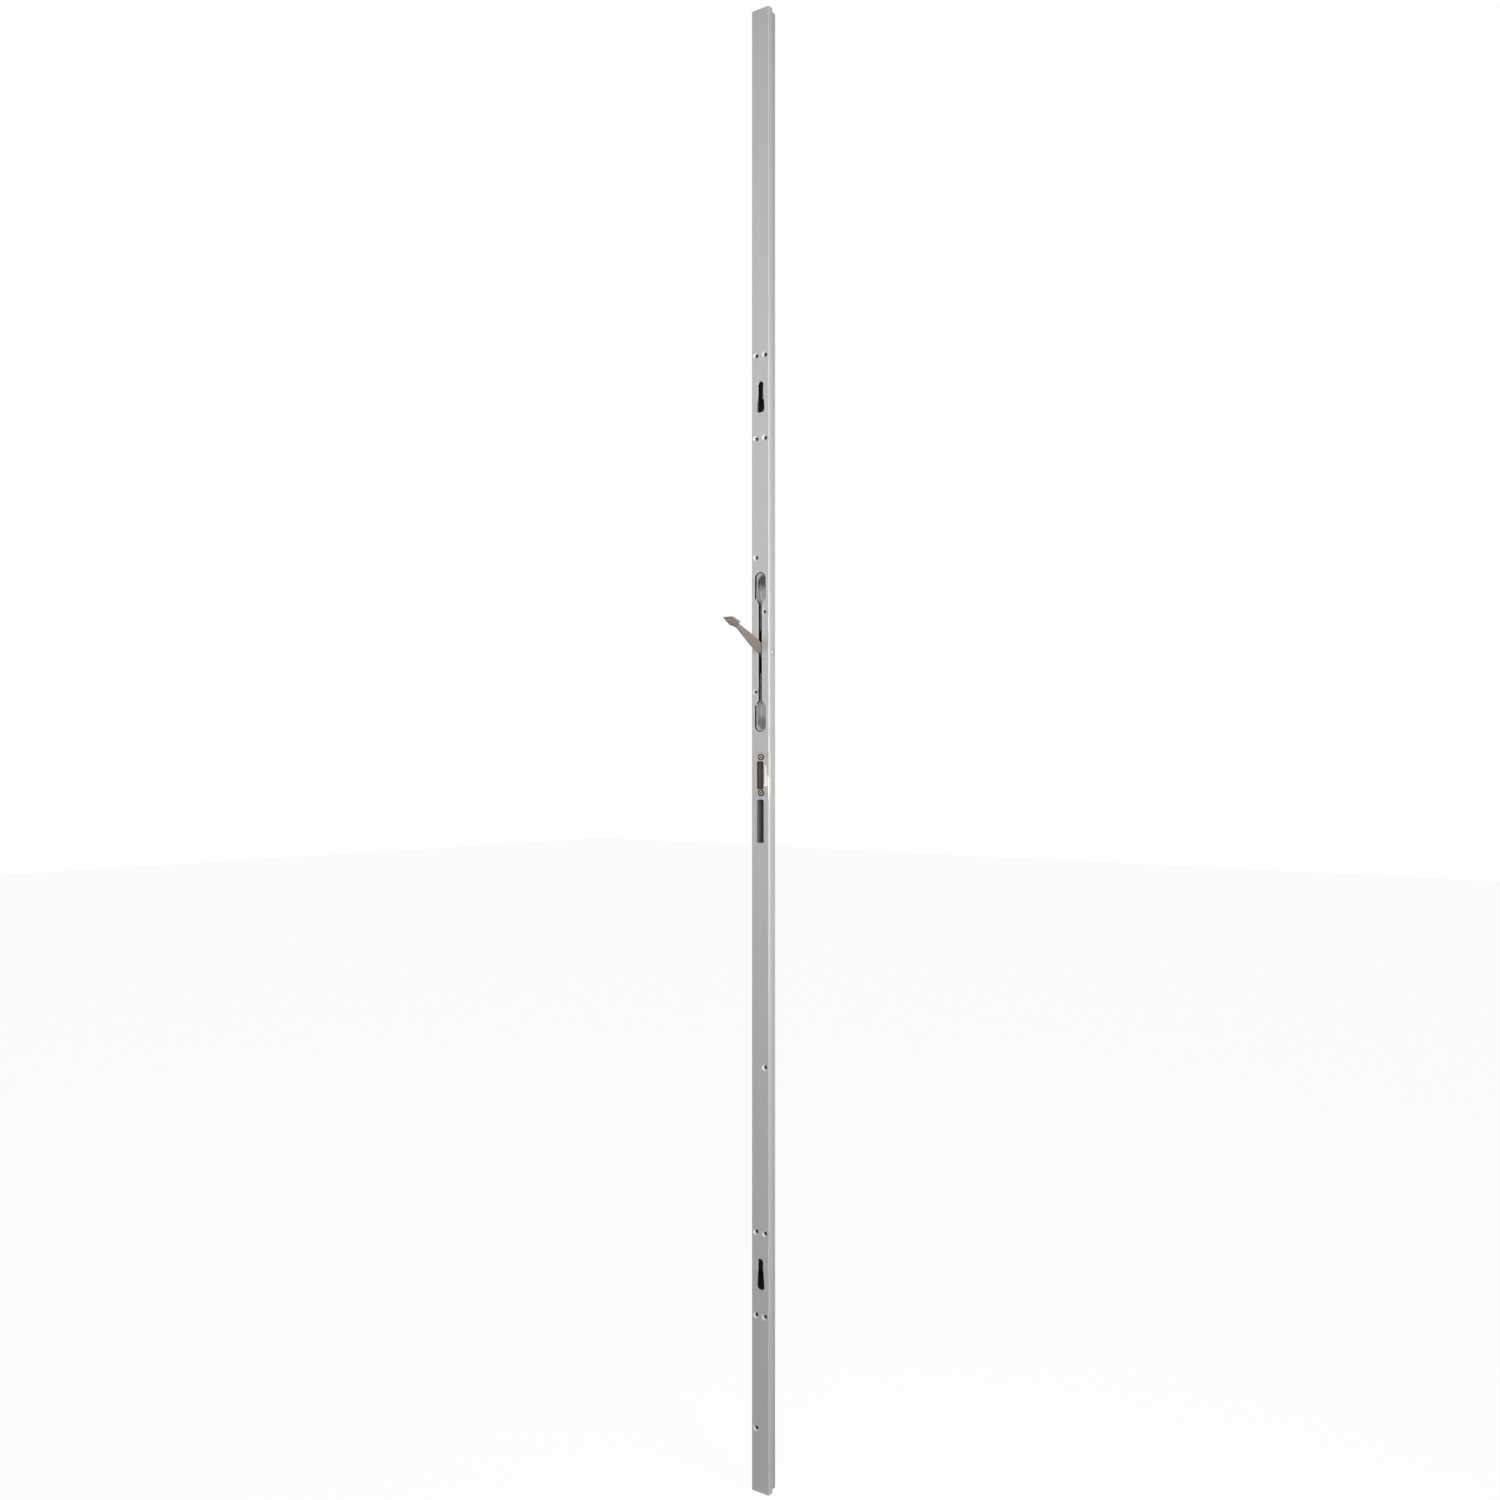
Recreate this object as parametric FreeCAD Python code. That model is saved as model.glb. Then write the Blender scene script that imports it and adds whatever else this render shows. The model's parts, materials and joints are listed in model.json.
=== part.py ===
import FreeCAD, Part
import math
import os

# Passive-leaf lock of a double door: a long U-shaped faceplate with a fold-out lever that drives
# two rods, one up and one down, and with the strikes for the other leaf's hooks, latch and bolt.
# Frame: +Z runs up the plate, -Y is the way the plate's front faces, +X is its right side. The
# origin is on the back of the housing, level with the middle of the latch opening.
# All sizes are in millimetres. "Depth" is measured back from the plate's front face. Heights are
# measured from the middle of the plate, and the finished pieces move to the origin's level.

V = FreeCAD.Vector
os.makedirs("parts", exist_ok=True)

# Faceplate and housing profile
PLATE_LENGTH = 1600.0
PLATE_WIDTH = 24.0
PLATE_WALL = 2.5
FLANGE_WALL = 2.0
FLANGE_DEPTH = 6.0
PLATE_EDGE_ROUND = 1.5
PLATE_CORNER = 0.8
HOUSING_SIDE_STEP = 0.3
HOUSING_DEPTH = 12.0
HOUSING_WALL = 1.5
HOUSING_EDGE_ROUND = 1.2
HOUSING_END_STEP = 5.0

# Fits and running gaps
SEAT_GAP = 0.1
SLIDE_GAP = 0.3
SIDE_GAP = 0.15
SHAFT_GAP = 0.03

# Screw holes through the faceplate
SCREW_HOLE_RADIUS = 2.1
SINK_RADIUS = 3.75
SINK_DEPTH = 1.55
SINK_SIDES = 12
SCREW_OFFSET = 6.0
TAP_RADIUS = 1.65
SHANK_SIDES = 12
SOCKET_RADIUS = 1.25
SOCKET_DEPTH = 1.2
HEAD_SUNK = 0.4
SCREW_SHORT = 2.0

# Hook slots
HOOK_UPPER_Z = 381.7
HOOK_LOWER_INSET = 235.4
HOOK_SLOT_LENGTH = 33.9
HOOK_SLOT_TOP_WIDTH = 8.7
HOOK_SLOT_FOOT_WIDTH = 11.3
HOOK_SLOT_FOOT_LENGTH = 5.0
HOOK_SLOT_TAPER = 18.0
HOOK_SLOT_FOOT_ROUND = 4.0
HOOK_SCREW_SPAN = 89.6
KEEPER_LENGTH = 52.0
KEEPER_FLOOR_RISE = 3.0
KEEPER_MARGIN = 0.4

# Single fixing holes
UPPER_SCREW_INSET = 13.5
LOWER_SCREW_Z = -341.0
END_SCREW_INSET = 68.4

# Latch strike
STRIKE_ON_CASE = 7.2
STRIKE_LENGTH = 47.3
STRIKE_DEPTH = 4.5
STRIKE_SCREW_INSET = 5.1
STRIKE_SCREW_INSET_LOW = 3.6
STRIKE_SINK_RADIUS = 3.2
STRIKE_SINK_DEPTH = 1.4
STRIKE_HOLE_RADIUS = 1.75
LATCH_OPENING_INSET = 9.5
LATCH_OPENING_LENGTH = 30.5
LATCH_OPENING_WIDTH = 8.6
LATCH_OPENING_ROUND = 1.5
RAMP_SHALLOW = 0.7
RAMP_DEEP = 3.0
RAMP_LENGTH = 26.0
RAMP_ROUND = 2.0
RAMP_TOOL_SPARE = 4.0
STRIKE_BODY_LEFT = 3.6
CARRIER_LEFT = 5.0
CARRIER_BELOW = 1.7

# Deadbolt slot and its pocket
BOLT_SLOT_BELOW = 3.6
BOLT_SLOT_LENGTH = 46.7
BOLT_SLOT_WIDTH = 9.5
BOLT_SLOT_ROUND = 2.0
POCKET_WALL = 1.0
POCKET_NECK_WALL = 0.4
POCKET_DEPTH = 17.0
POCKET_EAR = 6.0

# Lever and its drive
PIVOT_Z = 106.5
PIVOT_DEPTH = 6.5
LEVER_SWING = 90.0
LEVER_REST = 30.0
LEVER_THICKNESS = 3.5
LEVER_LENGTH = 70.3
LEVER_ROOT_WIDTH = 11.4
LEVER_ROOT_REACH = 9.0
LEVER_BROAD_REACH = 25.0
LEVER_NECK_WIDTH = 5.7
LEVER_NECK_REACH = 47.0
LEVER_EDGE = 0.8
HEAD_WIDTH = 13.0
HEAD_LENGTH = 12.0
HEAD_SHOULDER = 5.2
HEAD_THICKNESS = 4.2
HEAD_CORNER = 1.4
BOSS_RADIUS = 3.9
AXLE_RADIUS = 2.0
BUSH_WALL = 0.7
GEAR_MODULE = 0.8
PRESSURE_ANGLE = math.radians(30.0)
TOOTH_BACKLASH = 0.2
TOOTH_SUNK = 0.3
HUB_TEETH = 14
HUB_TOOTH_PAIRS = 4
PINION_TEETH = 8
PINION_DROP = 36.5
PINION_WIDTH = 3.0
STUD_RADIUS = 1.2

# Lever slot and finger recesses in the faceplate
LEVER_SLOT_WIDTH = 4.0
WELL_HALF_LENGTH = 23.2
ARM_ROOM_HALF_LENGTH = 40.0
WELL_WIDTH = 8.4
RECESS_WIDTH = 14.3
RECESS_NECK = 52.0
RECESS_SHOULDER = 58.0
RECESS_END = 86.2
CUP_WALL = 0.8

# Gear case and the rack room behind it
CASE_END_WALL = 1.9
CASE_SCREW_REACH = 43.2
CASE_FLOOR_WALL = 0.7
RACK_BACK_GAP = 0.2
COVER_THICKNESS = 1.0
ROOM_HALF_WIDTH = 6.75
ROOM_INNER_SIDE = 2.6
ROOM_WALL = 0.85
ROOM_MIDDLE = 59.0
ROOM_END_GAP = 2.0
POST_HALF = 2.2
PEG_HALF = 1.2
POST_NEAR = 61.5
POST_FAR = 106.0

# Racks, links and rods
RACK_LEG_WIDTH = 2.6
RACK_FRONT_RISE = 0.5
RACK_THICKNESS = 3.5
RACK_TEETH_PAIRS = 5
RACK_HEAD_REACH = 14.0
LINK_HEIGHT = 6.0
LINK_END_GAP = 0.9
LINK_WIDTH = 2.5
TENON_WIDTH = 1.3
TENON_HEIGHT = 4.0
ROD_THICKNESS = 2.0
ROD_WIDTH = 19.6
ROD_INNER_EDGE = 4.0
ROD_SLOT_GAP = 0.4
ROD_END_GAP = 2.2
COUPLER_LENGTH = 26.0
COUPLER_WIDTH = 10.0
COUPLER_NOSE = 12.0
COUPLER_THREAD_RADIUS = 2.1
COUPLER_THREAD_LENGTH = 11.5
COUPLER_PEG_HALF = 1.2
COUPLER_PEG_PITCH = 6.0

# Guides and end plugs
GUIDE_LENGTH = 18.0
GUIDE_SIDE = 3.0
GUIDE_FACE = 1.5
GUIDE_END = 2.0
GUIDE_OFF_COUPLER = 20.0
GUIDE_OFF_SCREW = 51.6
UPPER_GUIDES = (245.0, 470.0, 600.0)
LOWER_GUIDES = (-125.0, -240.0, -420.0)
PLUG_LENGTH = 10.0
PLUG_BORE_RADIUS = 3.2

# How far a cutting tool runs past the face that it opens
OVER = 1.0

# Values worked out from the sizes above
HALF_LENGTH = PLATE_LENGTH / 2
HALF_WIDTH = PLATE_WIDTH / 2
INNER_HALF_WIDTH = HALF_WIDTH - FLANGE_WALL
FILL_HALF = INNER_HALF_WIDTH - SEAT_GAP
HOUSING_WIDTH = PLATE_WIDTH - 2 * HOUSING_SIDE_STEP
HOUSING_END_Z = HALF_LENGTH - HOUSING_END_STEP
HOUSING_INNER_HALF = HOUSING_WIDTH / 2 - HOUSING_WALL
HOUSING_FLOOR = HOUSING_DEPTH - HOUSING_WALL
HUB_PITCH_RADIUS = GEAR_MODULE * HUB_TEETH / 2
PINION_PITCH_RADIUS = GEAR_MODULE * PINION_TEETH / 2
ADDENDUM = 0.8 * GEAR_MODULE
DEDENDUM = GEAR_MODULE
TOOTH_PITCH = math.pi * GEAR_MODULE
TRAVEL = HUB_PITCH_RADIUS * math.radians(LEVER_SWING)
REST_SHIFT = HUB_PITCH_RADIUS * math.radians(LEVER_REST)
RACK_PITCH_DEPTH = PIVOT_DEPTH + HUB_PITCH_RADIUS
RACK_FRONT = RACK_PITCH_DEPTH - RACK_FRONT_RISE
RACK_BACK = RACK_FRONT + RACK_THICKNESS
RACK_ROOM_DEPTH = RACK_BACK + RACK_BACK_GAP
CASE_FLOOR_BACK = RACK_FRONT - SLIDE_GAP
CASE_FLOOR_TOP = CASE_FLOOR_BACK - CASE_FLOOR_WALL
CUP_DEPTH = CASE_FLOOR_TOP - CUP_WALL
RACK_OUTER_SIDE = PINION_PITCH_RADIUS + DEDENDUM + RACK_LEG_WIDTH
ROD_FRONT = PLATE_WALL + SLIDE_GAP
ROD_BACK = ROD_FRONT + ROD_THICKNESS
BEHIND_ROD = ROD_BACK + SLIDE_GAP
COUPLER_DEPTH = HOUSING_FLOOR - SLIDE_GAP
COUPLER_AXIS_DEPTH = (PLATE_WALL + HOUSING_FLOOR) / 2
NECK_OUT = SEAT_GAP + POCKET_NECK_WALL
ROD_STRIP_EDGE = BOLT_SLOT_WIDTH / 2 + NECK_OUT + ROD_SLOT_GAP
SCREW_LENGTH = CASE_FLOOR_TOP - SCREW_SHORT
RECESS_RADIUS = RECESS_WIDTH / 2
CUP_END_REACH = RECESS_END + CUP_WALL + SEAT_GAP
LINK_REACH = CUP_END_REACH + TRAVEL + LINK_HEIGHT / 2 + LINK_END_GAP
ROOM_REACH = LINK_REACH + LINK_HEIGHT / 2 + TRAVEL + ROOM_END_GAP
CASE_REACH = ROOM_REACH + CASE_END_WALL
CASE_TOP = PIVOT_Z + CASE_REACH
CASE_FOOT = PIVOT_Z - CASE_REACH
PINION_Z = PIVOT_Z - PINION_DROP
ROD_END_Z = HOUSING_END_Z - PLUG_LENGTH - TRAVEL - ROD_END_GAP
UPPER_SCREW_Z = CASE_TOP - UPPER_SCREW_INSET
END_SCREW_Z = END_SCREW_INSET - HALF_LENGTH
HOOK_LOWER_Z = HOOK_LOWER_INSET - HALF_LENGTH
STRIKE_TOP_Z = CASE_FOOT + STRIKE_ON_CASE
STRIKE_FOOT_Z = STRIKE_TOP_Z - STRIKE_LENGTH
STRIKE_SCREW_HEIGHTS = (STRIKE_TOP_Z - STRIKE_SCREW_INSET, STRIKE_FOOT_Z + STRIKE_SCREW_INSET_LOW)
LATCH_OPENING_TOP_Z = STRIKE_TOP_Z - LATCH_OPENING_INSET
LATCH_OPENING_FOOT_Z = LATCH_OPENING_TOP_Z - LATCH_OPENING_LENGTH
BOLT_SLOT_TOP_Z = STRIKE_FOOT_Z - BOLT_SLOT_BELOW
BOLT_SLOT_FOOT_Z = BOLT_SLOT_TOP_Z - BOLT_SLOT_LENGTH
CARRIER_FOOT_Z = STRIKE_FOOT_Z - CARRIER_BELOW
TOP_GUIDE_Z = ROD_END_Z - COUPLER_LENGTH - GUIDE_OFF_COUPLER
BOTTOM_GUIDE_Z = END_SCREW_Z + GUIDE_OFF_SCREW
ORIGIN_Z = (LATCH_OPENING_TOP_Z + LATCH_OPENING_FOOT_Z) / 2


def at_depth(depth):
    return depth - HOUSING_DEPTH


def block(x0, x1, d0, d1, z0, z1):
    return Part.makeBox(x1 - x0, d1 - d0, z1 - z0, V(x0, at_depth(d0), z0))


def disc_y(radius, x, z, d0, d1):
    return Part.makeCylinder(radius, d1 - d0, V(x, at_depth(d0), z), V(0, 1, 0))


def disc_x(radius, depth, z, x0, x1):
    return Part.makeCylinder(radius, x1 - x0, V(x0, at_depth(depth), z), V(1, 0, 0))


def disc_z(radius, x, depth, z0, z1):
    return Part.makeCylinder(radius, z1 - z0, V(x, at_depth(depth), z0), V(0, 0, 1))


def ring_y(sides, corner_radius, x, z, depth):
    # corners of a regular polygon that faces the front
    corners = []
    for step in range(sides):
        angle = 2 * math.pi * step / sides
        corners.append(V(x + corner_radius * math.cos(angle), at_depth(depth),
                         z + corner_radius * math.sin(angle)))
    return corners


def sink_y(x, z, radius, d0, d1):
    # 90 degree countersink, or the head that fills it, with flat sides; the radius is at depth d0
    front = ring_y(SINK_SIDES, radius, x, z, d0)
    back = ring_y(SINK_SIDES, radius - (d1 - d0), x, z, d1)
    faces = [Part.Face(Part.makePolygon(ring + ring[:1])) for ring in (front, back)]
    for step in range(SINK_SIDES):
        after = (step + 1) % SINK_SIDES
        corners = [front[step], front[after], back[after], back[step], front[step]]
        faces.append(Part.Face(Part.makePolygon(corners)))
    solid = Part.Solid(Part.Shell(faces))
    if solid.Volume < 0:
        solid.reverse()
    return solid


def join(shapes):
    first = shapes[0]
    if len(shapes) == 1:
        return first
    return first.multiFuse(shapes[1:]).removeSplitter()


def cut(body, tools):
    return body.cut(Part.makeCompound(tools))


def edges_along(shape, axis, test):
    found = []
    for edge in shape.Edges:
        a, b = edge.Vertexes[0].Point, edge.Vertexes[-1].Point
        run = b - a
        if run.Length > 1e-6 and abs(abs(run.dot(axis)) - run.Length) < 1e-6 and test((a + b) * 0.5):
            found.append(edge)
    return found


def flat_outline(points):
    # closed wire in the XZ plane at the front face; each item is (x, z) or (via, to) for an arc
    edges = []
    last = points[0]
    for item in points[1:] + [points[0]]:
        start = V(last[0], at_depth(0), last[1])
        if len(item) == 4:
            via = V(item[0], at_depth(0), item[1])
            end = V(item[2], at_depth(0), item[3])
            edges.append(Part.Arc(start, via, end).toShape())
            last = (item[2], item[3])
        else:
            end = V(item[0], at_depth(0), item[1])
            if (end - start).Length > 1e-6:
                edges.append(Part.LineSegment(start, end).toShape())
            last = item
    return Part.Wire(edges)


def pushed(wire, d0, d1):
    face = Part.Face(wire)
    face.translate(V(0, d0, 0))
    return face.extrude(V(0, d1 - d0, 0))


def rounded_slot(width, z0, z1, corner, d0, d1):
    body = block(-width / 2, width / 2, d0, d1, z0, z1)
    along = edges_along(body, V(0, 1, 0), lambda middle: True)
    return body.makeFillet(corner, along)


def hook_outline(centre, margin):
    # narrow round-headed slot that widens to a broader foot
    top = centre + HOOK_SLOT_LENGTH / 2 + margin
    foot = centre - HOOK_SLOT_LENGTH / 2 - margin
    narrow = HOOK_SLOT_TOP_WIDTH / 2 + margin
    wide = HOOK_SLOT_FOOT_WIDTH / 2 + margin
    shoulder = centre - HOOK_SLOT_LENGTH / 2 + HOOK_SLOT_FOOT_LENGTH
    corner = HOOK_SLOT_FOOT_ROUND
    mid = corner * (1 - math.sqrt(0.5))
    return flat_outline([
        (-narrow, top - narrow),
        (0, top, narrow, top - narrow),
        (narrow, shoulder + HOOK_SLOT_TAPER),
        (wide, shoulder),
        (wide, foot + corner),
        (wide - mid, foot + mid, wide - corner, foot),
        (-wide + corner, foot),
        (-wide + mid, foot + mid, -wide, foot + corner),
        (-wide, shoulder),
        (-narrow, shoulder + HOOK_SLOT_TAPER),
    ])


def recess_outline(side, margin):
    # spade-shaped finger recess; side is 1 above the pivot and -1 below it
    half = RECESS_RADIUS + margin
    neck = LEVER_SLOT_WIDTH / 2 + margin
    bend = RECESS_END - RECESS_RADIUS

    def up(reach):
        return PIVOT_Z + side * reach

    return flat_outline([
        (-neck, up(RECESS_NECK - margin)),
        (-half, up(RECESS_SHOULDER)),
        (-half, up(bend)),
        (0, up(bend + half), half, up(bend)),
        (half, up(RECESS_SHOULDER)),
        (neck, up(RECESS_NECK - margin)),
    ])


def hook_screws(centre):
    places = []
    for side in (-1, 1):
        for end in (-1, 1):
            places.append((side * SCREW_OFFSET, centre + end * HOOK_SCREW_SPAN / 2))
    return places


def fixing_holes():
    # where screws pass right through the lock into the door
    return hook_screws(HOOK_UPPER_Z) + hook_screws(HOOK_LOWER_Z) + [
        (-SCREW_OFFSET, UPPER_SCREW_Z),
        (SCREW_OFFSET, LOWER_SCREW_Z),
        (-SCREW_OFFSET, END_SCREW_Z),
    ]


def case_screws_at():
    return [(SCREW_OFFSET, PIVOT_Z + CASE_SCREW_REACH), (-SCREW_OFFSET, PIVOT_Z - CASE_SCREW_REACH)]


def make_faceplate():
    plate = block(-HALF_WIDTH, HALF_WIDTH, 0, FLANGE_DEPTH, -HALF_LENGTH, HALF_LENGTH)
    front = edges_along(plate, V(0, 0, 1), lambda middle: middle.y < at_depth(1))
    plate = plate.makeFillet(PLATE_EDGE_ROUND, front)
    tools = [block(-INNER_HALF_WIDTH, INNER_HALF_WIDTH, PLATE_WALL, FLANGE_DEPTH + OVER,
                   -HALF_LENGTH - OVER, HALF_LENGTH + OVER)]
    for x in (-HALF_WIDTH, HALF_WIDTH):
        for z in (-HALF_LENGTH, HALF_LENGTH):
            tools.append(prism_y(4, PLATE_CORNER, x, z, -OVER, FLANGE_DEPTH + OVER))
    for x, z in fixing_holes():
        tools.append(disc_y(SCREW_HOLE_RADIUS, x, z, -OVER, PLATE_WALL + OVER))
    for x, z in case_screws_at():
        tools.append(prism_y(SHANK_SIDES, SCREW_HOLE_RADIUS, x, z, -OVER, PLATE_WALL + OVER))
    for x, z in fixing_holes() + case_screws_at():
        tools.append(sink_y(x, z, SINK_RADIUS, 0, SINK_DEPTH))
    for centre in (HOOK_UPPER_Z, HOOK_LOWER_Z):
        tools.append(pushed(hook_outline(centre, 0), -OVER, PLATE_WALL + OVER))
    for side in (1, -1):
        tools.append(pushed(recess_outline(side, 0), -OVER, PLATE_WALL + OVER))
    half_slot = LEVER_SLOT_WIDTH / 2
    tools.append(block(-half_slot, half_slot, -OVER, PLATE_WALL + OVER,
                       PIVOT_Z - RECESS_NECK - OVER, PIVOT_Z + RECESS_NECK + OVER))
    tools.append(block(-HALF_WIDTH - OVER, HALF_WIDTH + OVER, -OVER, STRIKE_DEPTH, STRIKE_FOOT_Z,
                       STRIKE_TOP_Z))
    tools.append(rounded_slot(BOLT_SLOT_WIDTH, BOLT_SLOT_FOOT_Z, BOLT_SLOT_TOP_Z, BOLT_SLOT_ROUND,
                              -OVER, PLATE_WALL + OVER))
    tools.append(disc_x(AXLE_RADIUS + SEAT_GAP, PIVOT_DEPTH, PIVOT_Z, -HALF_WIDTH - OVER, HALF_WIDTH + OVER))
    return cut(plate, tools)


def housing_bar(z0, z1):
    # the housing's outer profile, which stands a little narrower than the faceplate
    half = HOUSING_WIDTH / 2
    bar = block(-half, half, FLANGE_DEPTH, HOUSING_DEPTH, z0, z1)
    back = edges_along(bar, V(0, 0, 1), lambda middle: middle.y > at_depth(HOUSING_DEPTH - 1))
    return bar.makeFillet(HOUSING_EDGE_ROUND, back)


def make_channel(z0, z1, windows):
    tools = [block(-HOUSING_INNER_HALF, HOUSING_INNER_HALF, FLANGE_DEPTH - OVER, HOUSING_FLOOR,
                   z0 - OVER, z1 + OVER)]
    for x, z in fixing_holes():
        if z0 < z < z1:
            tools.append(disc_y(SCREW_HOLE_RADIUS, x, z, HOUSING_FLOOR - OVER, HOUSING_DEPTH + OVER))
    return cut(housing_bar(z0, z1), tools + windows)


def hook_window(centre):
    half = HOOK_SLOT_TOP_WIDTH / 2
    return block(-half, half, HOUSING_FLOOR - OVER, HOUSING_DEPTH + OVER,
                 centre, centre + HOOK_SLOT_LENGTH / 2)


def bolt_window():
    half = BOLT_SLOT_WIDTH / 2 + POCKET_WALL + 2 * SEAT_GAP
    reach = POCKET_WALL + 2 * SEAT_GAP
    return block(-half, half, HOUSING_FLOOR - OVER, HOUSING_DEPTH + OVER,
                 BOLT_SLOT_FOOT_Z - reach, BOLT_SLOT_TOP_Z + reach)


def make_keeper(centre):
    half = KEEPER_LENGTH / 2
    body = block(-FILL_HALF, FILL_HALF, BEHIND_ROD, HOUSING_FLOOR, centre - half, centre + half)
    body = body.cut(pushed(hook_outline(centre, KEEPER_MARGIN), BEHIND_ROD - OVER, HOUSING_FLOOR + OVER))
    # the lower half of the pocket has a floor that rises towards the foot
    foot = centre - HOOK_SLOT_LENGTH / 2 - KEEPER_MARGIN
    wide = HOOK_SLOT_FOOT_WIDTH / 2 + KEEPER_MARGIN
    corners = [V(-wide, at_depth(HOUSING_FLOOR), centre),
               V(-wide, at_depth(HOUSING_FLOOR), foot),
               V(-wide, at_depth(HOUSING_FLOOR - KEEPER_FLOOR_RISE), foot)]
    wedge = Part.Face(Part.makePolygon(corners + corners[:1])).extrude(V(2 * wide, 0, 0))
    floor = wedge.common(pushed(hook_outline(centre, KEEPER_MARGIN), 0, HOUSING_DEPTH))
    return join([body, floor])


def make_strike():
    half = HALF_WIDTH
    plate = block(-half, half, 0, PLATE_WALL, STRIKE_FOOT_Z, STRIKE_TOP_Z)
    sides = []
    for side in (-1, 1):
        x0, x1 = sorted((side * INNER_HALF_WIDTH, side * half))
        sides.append(block(x0, x1, 0, STRIKE_DEPTH, STRIKE_FOOT_Z, STRIKE_TOP_Z))
    thick = block(-STRIKE_BODY_LEFT, half, 0, STRIKE_DEPTH, STRIKE_FOOT_Z, STRIKE_TOP_Z)
    body = join([plate, thick] + sides)
    front = edges_along(body, V(0, 0, 1),
                        lambda middle: middle.y < at_depth(0.5) and abs(middle.x) > half - 1)
    body = body.makeFillet(PLATE_EDGE_ROUND, front)
    tools = [rounded_slot(LATCH_OPENING_WIDTH, LATCH_OPENING_FOOT_Z, LATCH_OPENING_TOP_Z,
                          LATCH_OPENING_ROUND, -OVER, STRIKE_DEPTH + OVER)]
    for z in STRIKE_SCREW_HEIGHTS:
        tools.append(prism_y(SHANK_SIDES, STRIKE_HOLE_RADIUS, 0, z, -OVER, STRIKE_DEPTH + OVER))
        tools.append(sink_y(0, z, STRIKE_SINK_RADIUS, 0, STRIKE_SINK_DEPTH))
    tools.append(latch_ramp())
    return cut(body, tools)


def latch_ramp():
    # the scoop that the latch slides over: shallow at the plate's edge, deep beside the opening
    run = HALF_WIDTH - LATCH_OPENING_WIDTH / 2
    slope = math.degrees(math.atan2(RAMP_DEEP - RAMP_SHALLOW, run))
    middle = (LATCH_OPENING_TOP_Z + LATCH_OPENING_FOOT_Z) / 2
    high = 2 * RAMP_TOOL_SPARE
    scoop = Part.makeBox(run + RAMP_TOOL_SPARE, high, RAMP_LENGTH, V(0, -high, -RAMP_LENGTH / 2))
    rounds = edges_along(scoop, V(1, 0, 0), lambda point: point.y > -1)
    scoop = scoop.makeFillet(RAMP_ROUND, rounds)
    scoop.rotate(V(0, 0, 0), V(0, 0, 1), -slope)
    start_depth = RAMP_DEEP + OVER * math.tan(math.radians(slope))
    scoop.translate(V(LATCH_OPENING_WIDTH / 2 - OVER, at_depth(start_depth), middle))
    return scoop


def make_carrier():
    top = CASE_FOOT - SEAT_GAP
    body = block(-CARRIER_LEFT, FILL_HALF, STRIKE_DEPTH, HOUSING_FLOOR, CARRIER_FOOT_Z, top)
    half = LATCH_OPENING_WIDTH / 2
    tools = [block(-half, half, STRIKE_DEPTH - OVER, HOUSING_FLOOR + OVER,
                   LATCH_OPENING_FOOT_Z, LATCH_OPENING_TOP_Z)]
    tools.append(prism_y(SHANK_SIDES, TAP_RADIUS, 0, STRIKE_SCREW_HEIGHTS[1], STRIKE_DEPTH - OVER,
                         HOUSING_FLOOR))
    return cut(body, tools)


def make_bolt_pocket():
    inner = BOLT_SLOT_WIDTH / 2 + SEAT_GAP
    outer = inner + POCKET_WALL
    foot = BOLT_SLOT_FOOT_Z - SEAT_GAP
    top = BOLT_SLOT_TOP_Z + SEAT_GAP
    tub = block(-outer, outer, BEHIND_ROD, POCKET_DEPTH, foot - POCKET_WALL, top + POCKET_WALL)
    ear = block(-outer, outer, HOUSING_FLOOR - POCKET_WALL, HOUSING_FLOOR,
                foot - POCKET_WALL - POCKET_EAR, foot)
    # a thin neck closes the gap that the rod runs in, up to the back of the faceplate
    lip = inner + POCKET_NECK_WALL
    neck = block(-lip, lip, PLATE_WALL, BEHIND_ROD, foot - POCKET_NECK_WALL, top + POCKET_NECK_WALL)
    hollow = block(-inner, inner, PLATE_WALL - OVER, POCKET_DEPTH - POCKET_WALL, foot, top)
    return join([tub, ear, neck]).cut(hollow)


def screw_y(x, z, sink_radius, sink_depth, length, shank):
    # countersunk screw with a hexagon socket, seated in a countersink of the front face
    head = sink_y(x, z, sink_radius - HEAD_SUNK - SEAT_GAP, HEAD_SUNK, sink_depth)
    body = join([head, prism_y(SHANK_SIDES, shank, x, z, sink_depth, length)])
    return body.cut(prism_y(6, SOCKET_RADIUS / math.cos(math.pi / 6), x, z, -OVER, SOCKET_DEPTH))


def prism_y(sides, corner_radius, x, z, d0, d1):
    points = ring_y(sides, corner_radius, x, z, d0)
    return Part.Face(Part.makePolygon(points + points[:1])).extrude(V(0, d1 - d0, 0))


def room_outline(margin):
    # rack room seen from the back: full width by the gears, one-sided towards both ends
    wide = ROOM_HALF_WIDTH + margin
    inner = ROOM_INNER_SIDE + margin
    middle = ROOM_MIDDLE + margin
    reach = ROOM_REACH + margin
    return flat_outline([
        (-wide, PIVOT_Z - reach),
        (inner, PIVOT_Z - reach),
        (inner, PIVOT_Z - middle),
        (wide, PIVOT_Z - middle),
        (wide, PIVOT_Z + reach),
        (-inner, PIVOT_Z + reach),
        (-inner, PIVOT_Z + middle),
        (-wide, PIVOT_Z + middle),
    ])


def post_places():
    return [PIVOT_Z + side * reach for side in (-1, 1) for reach in (POST_NEAR, POST_FAR)]


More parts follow.
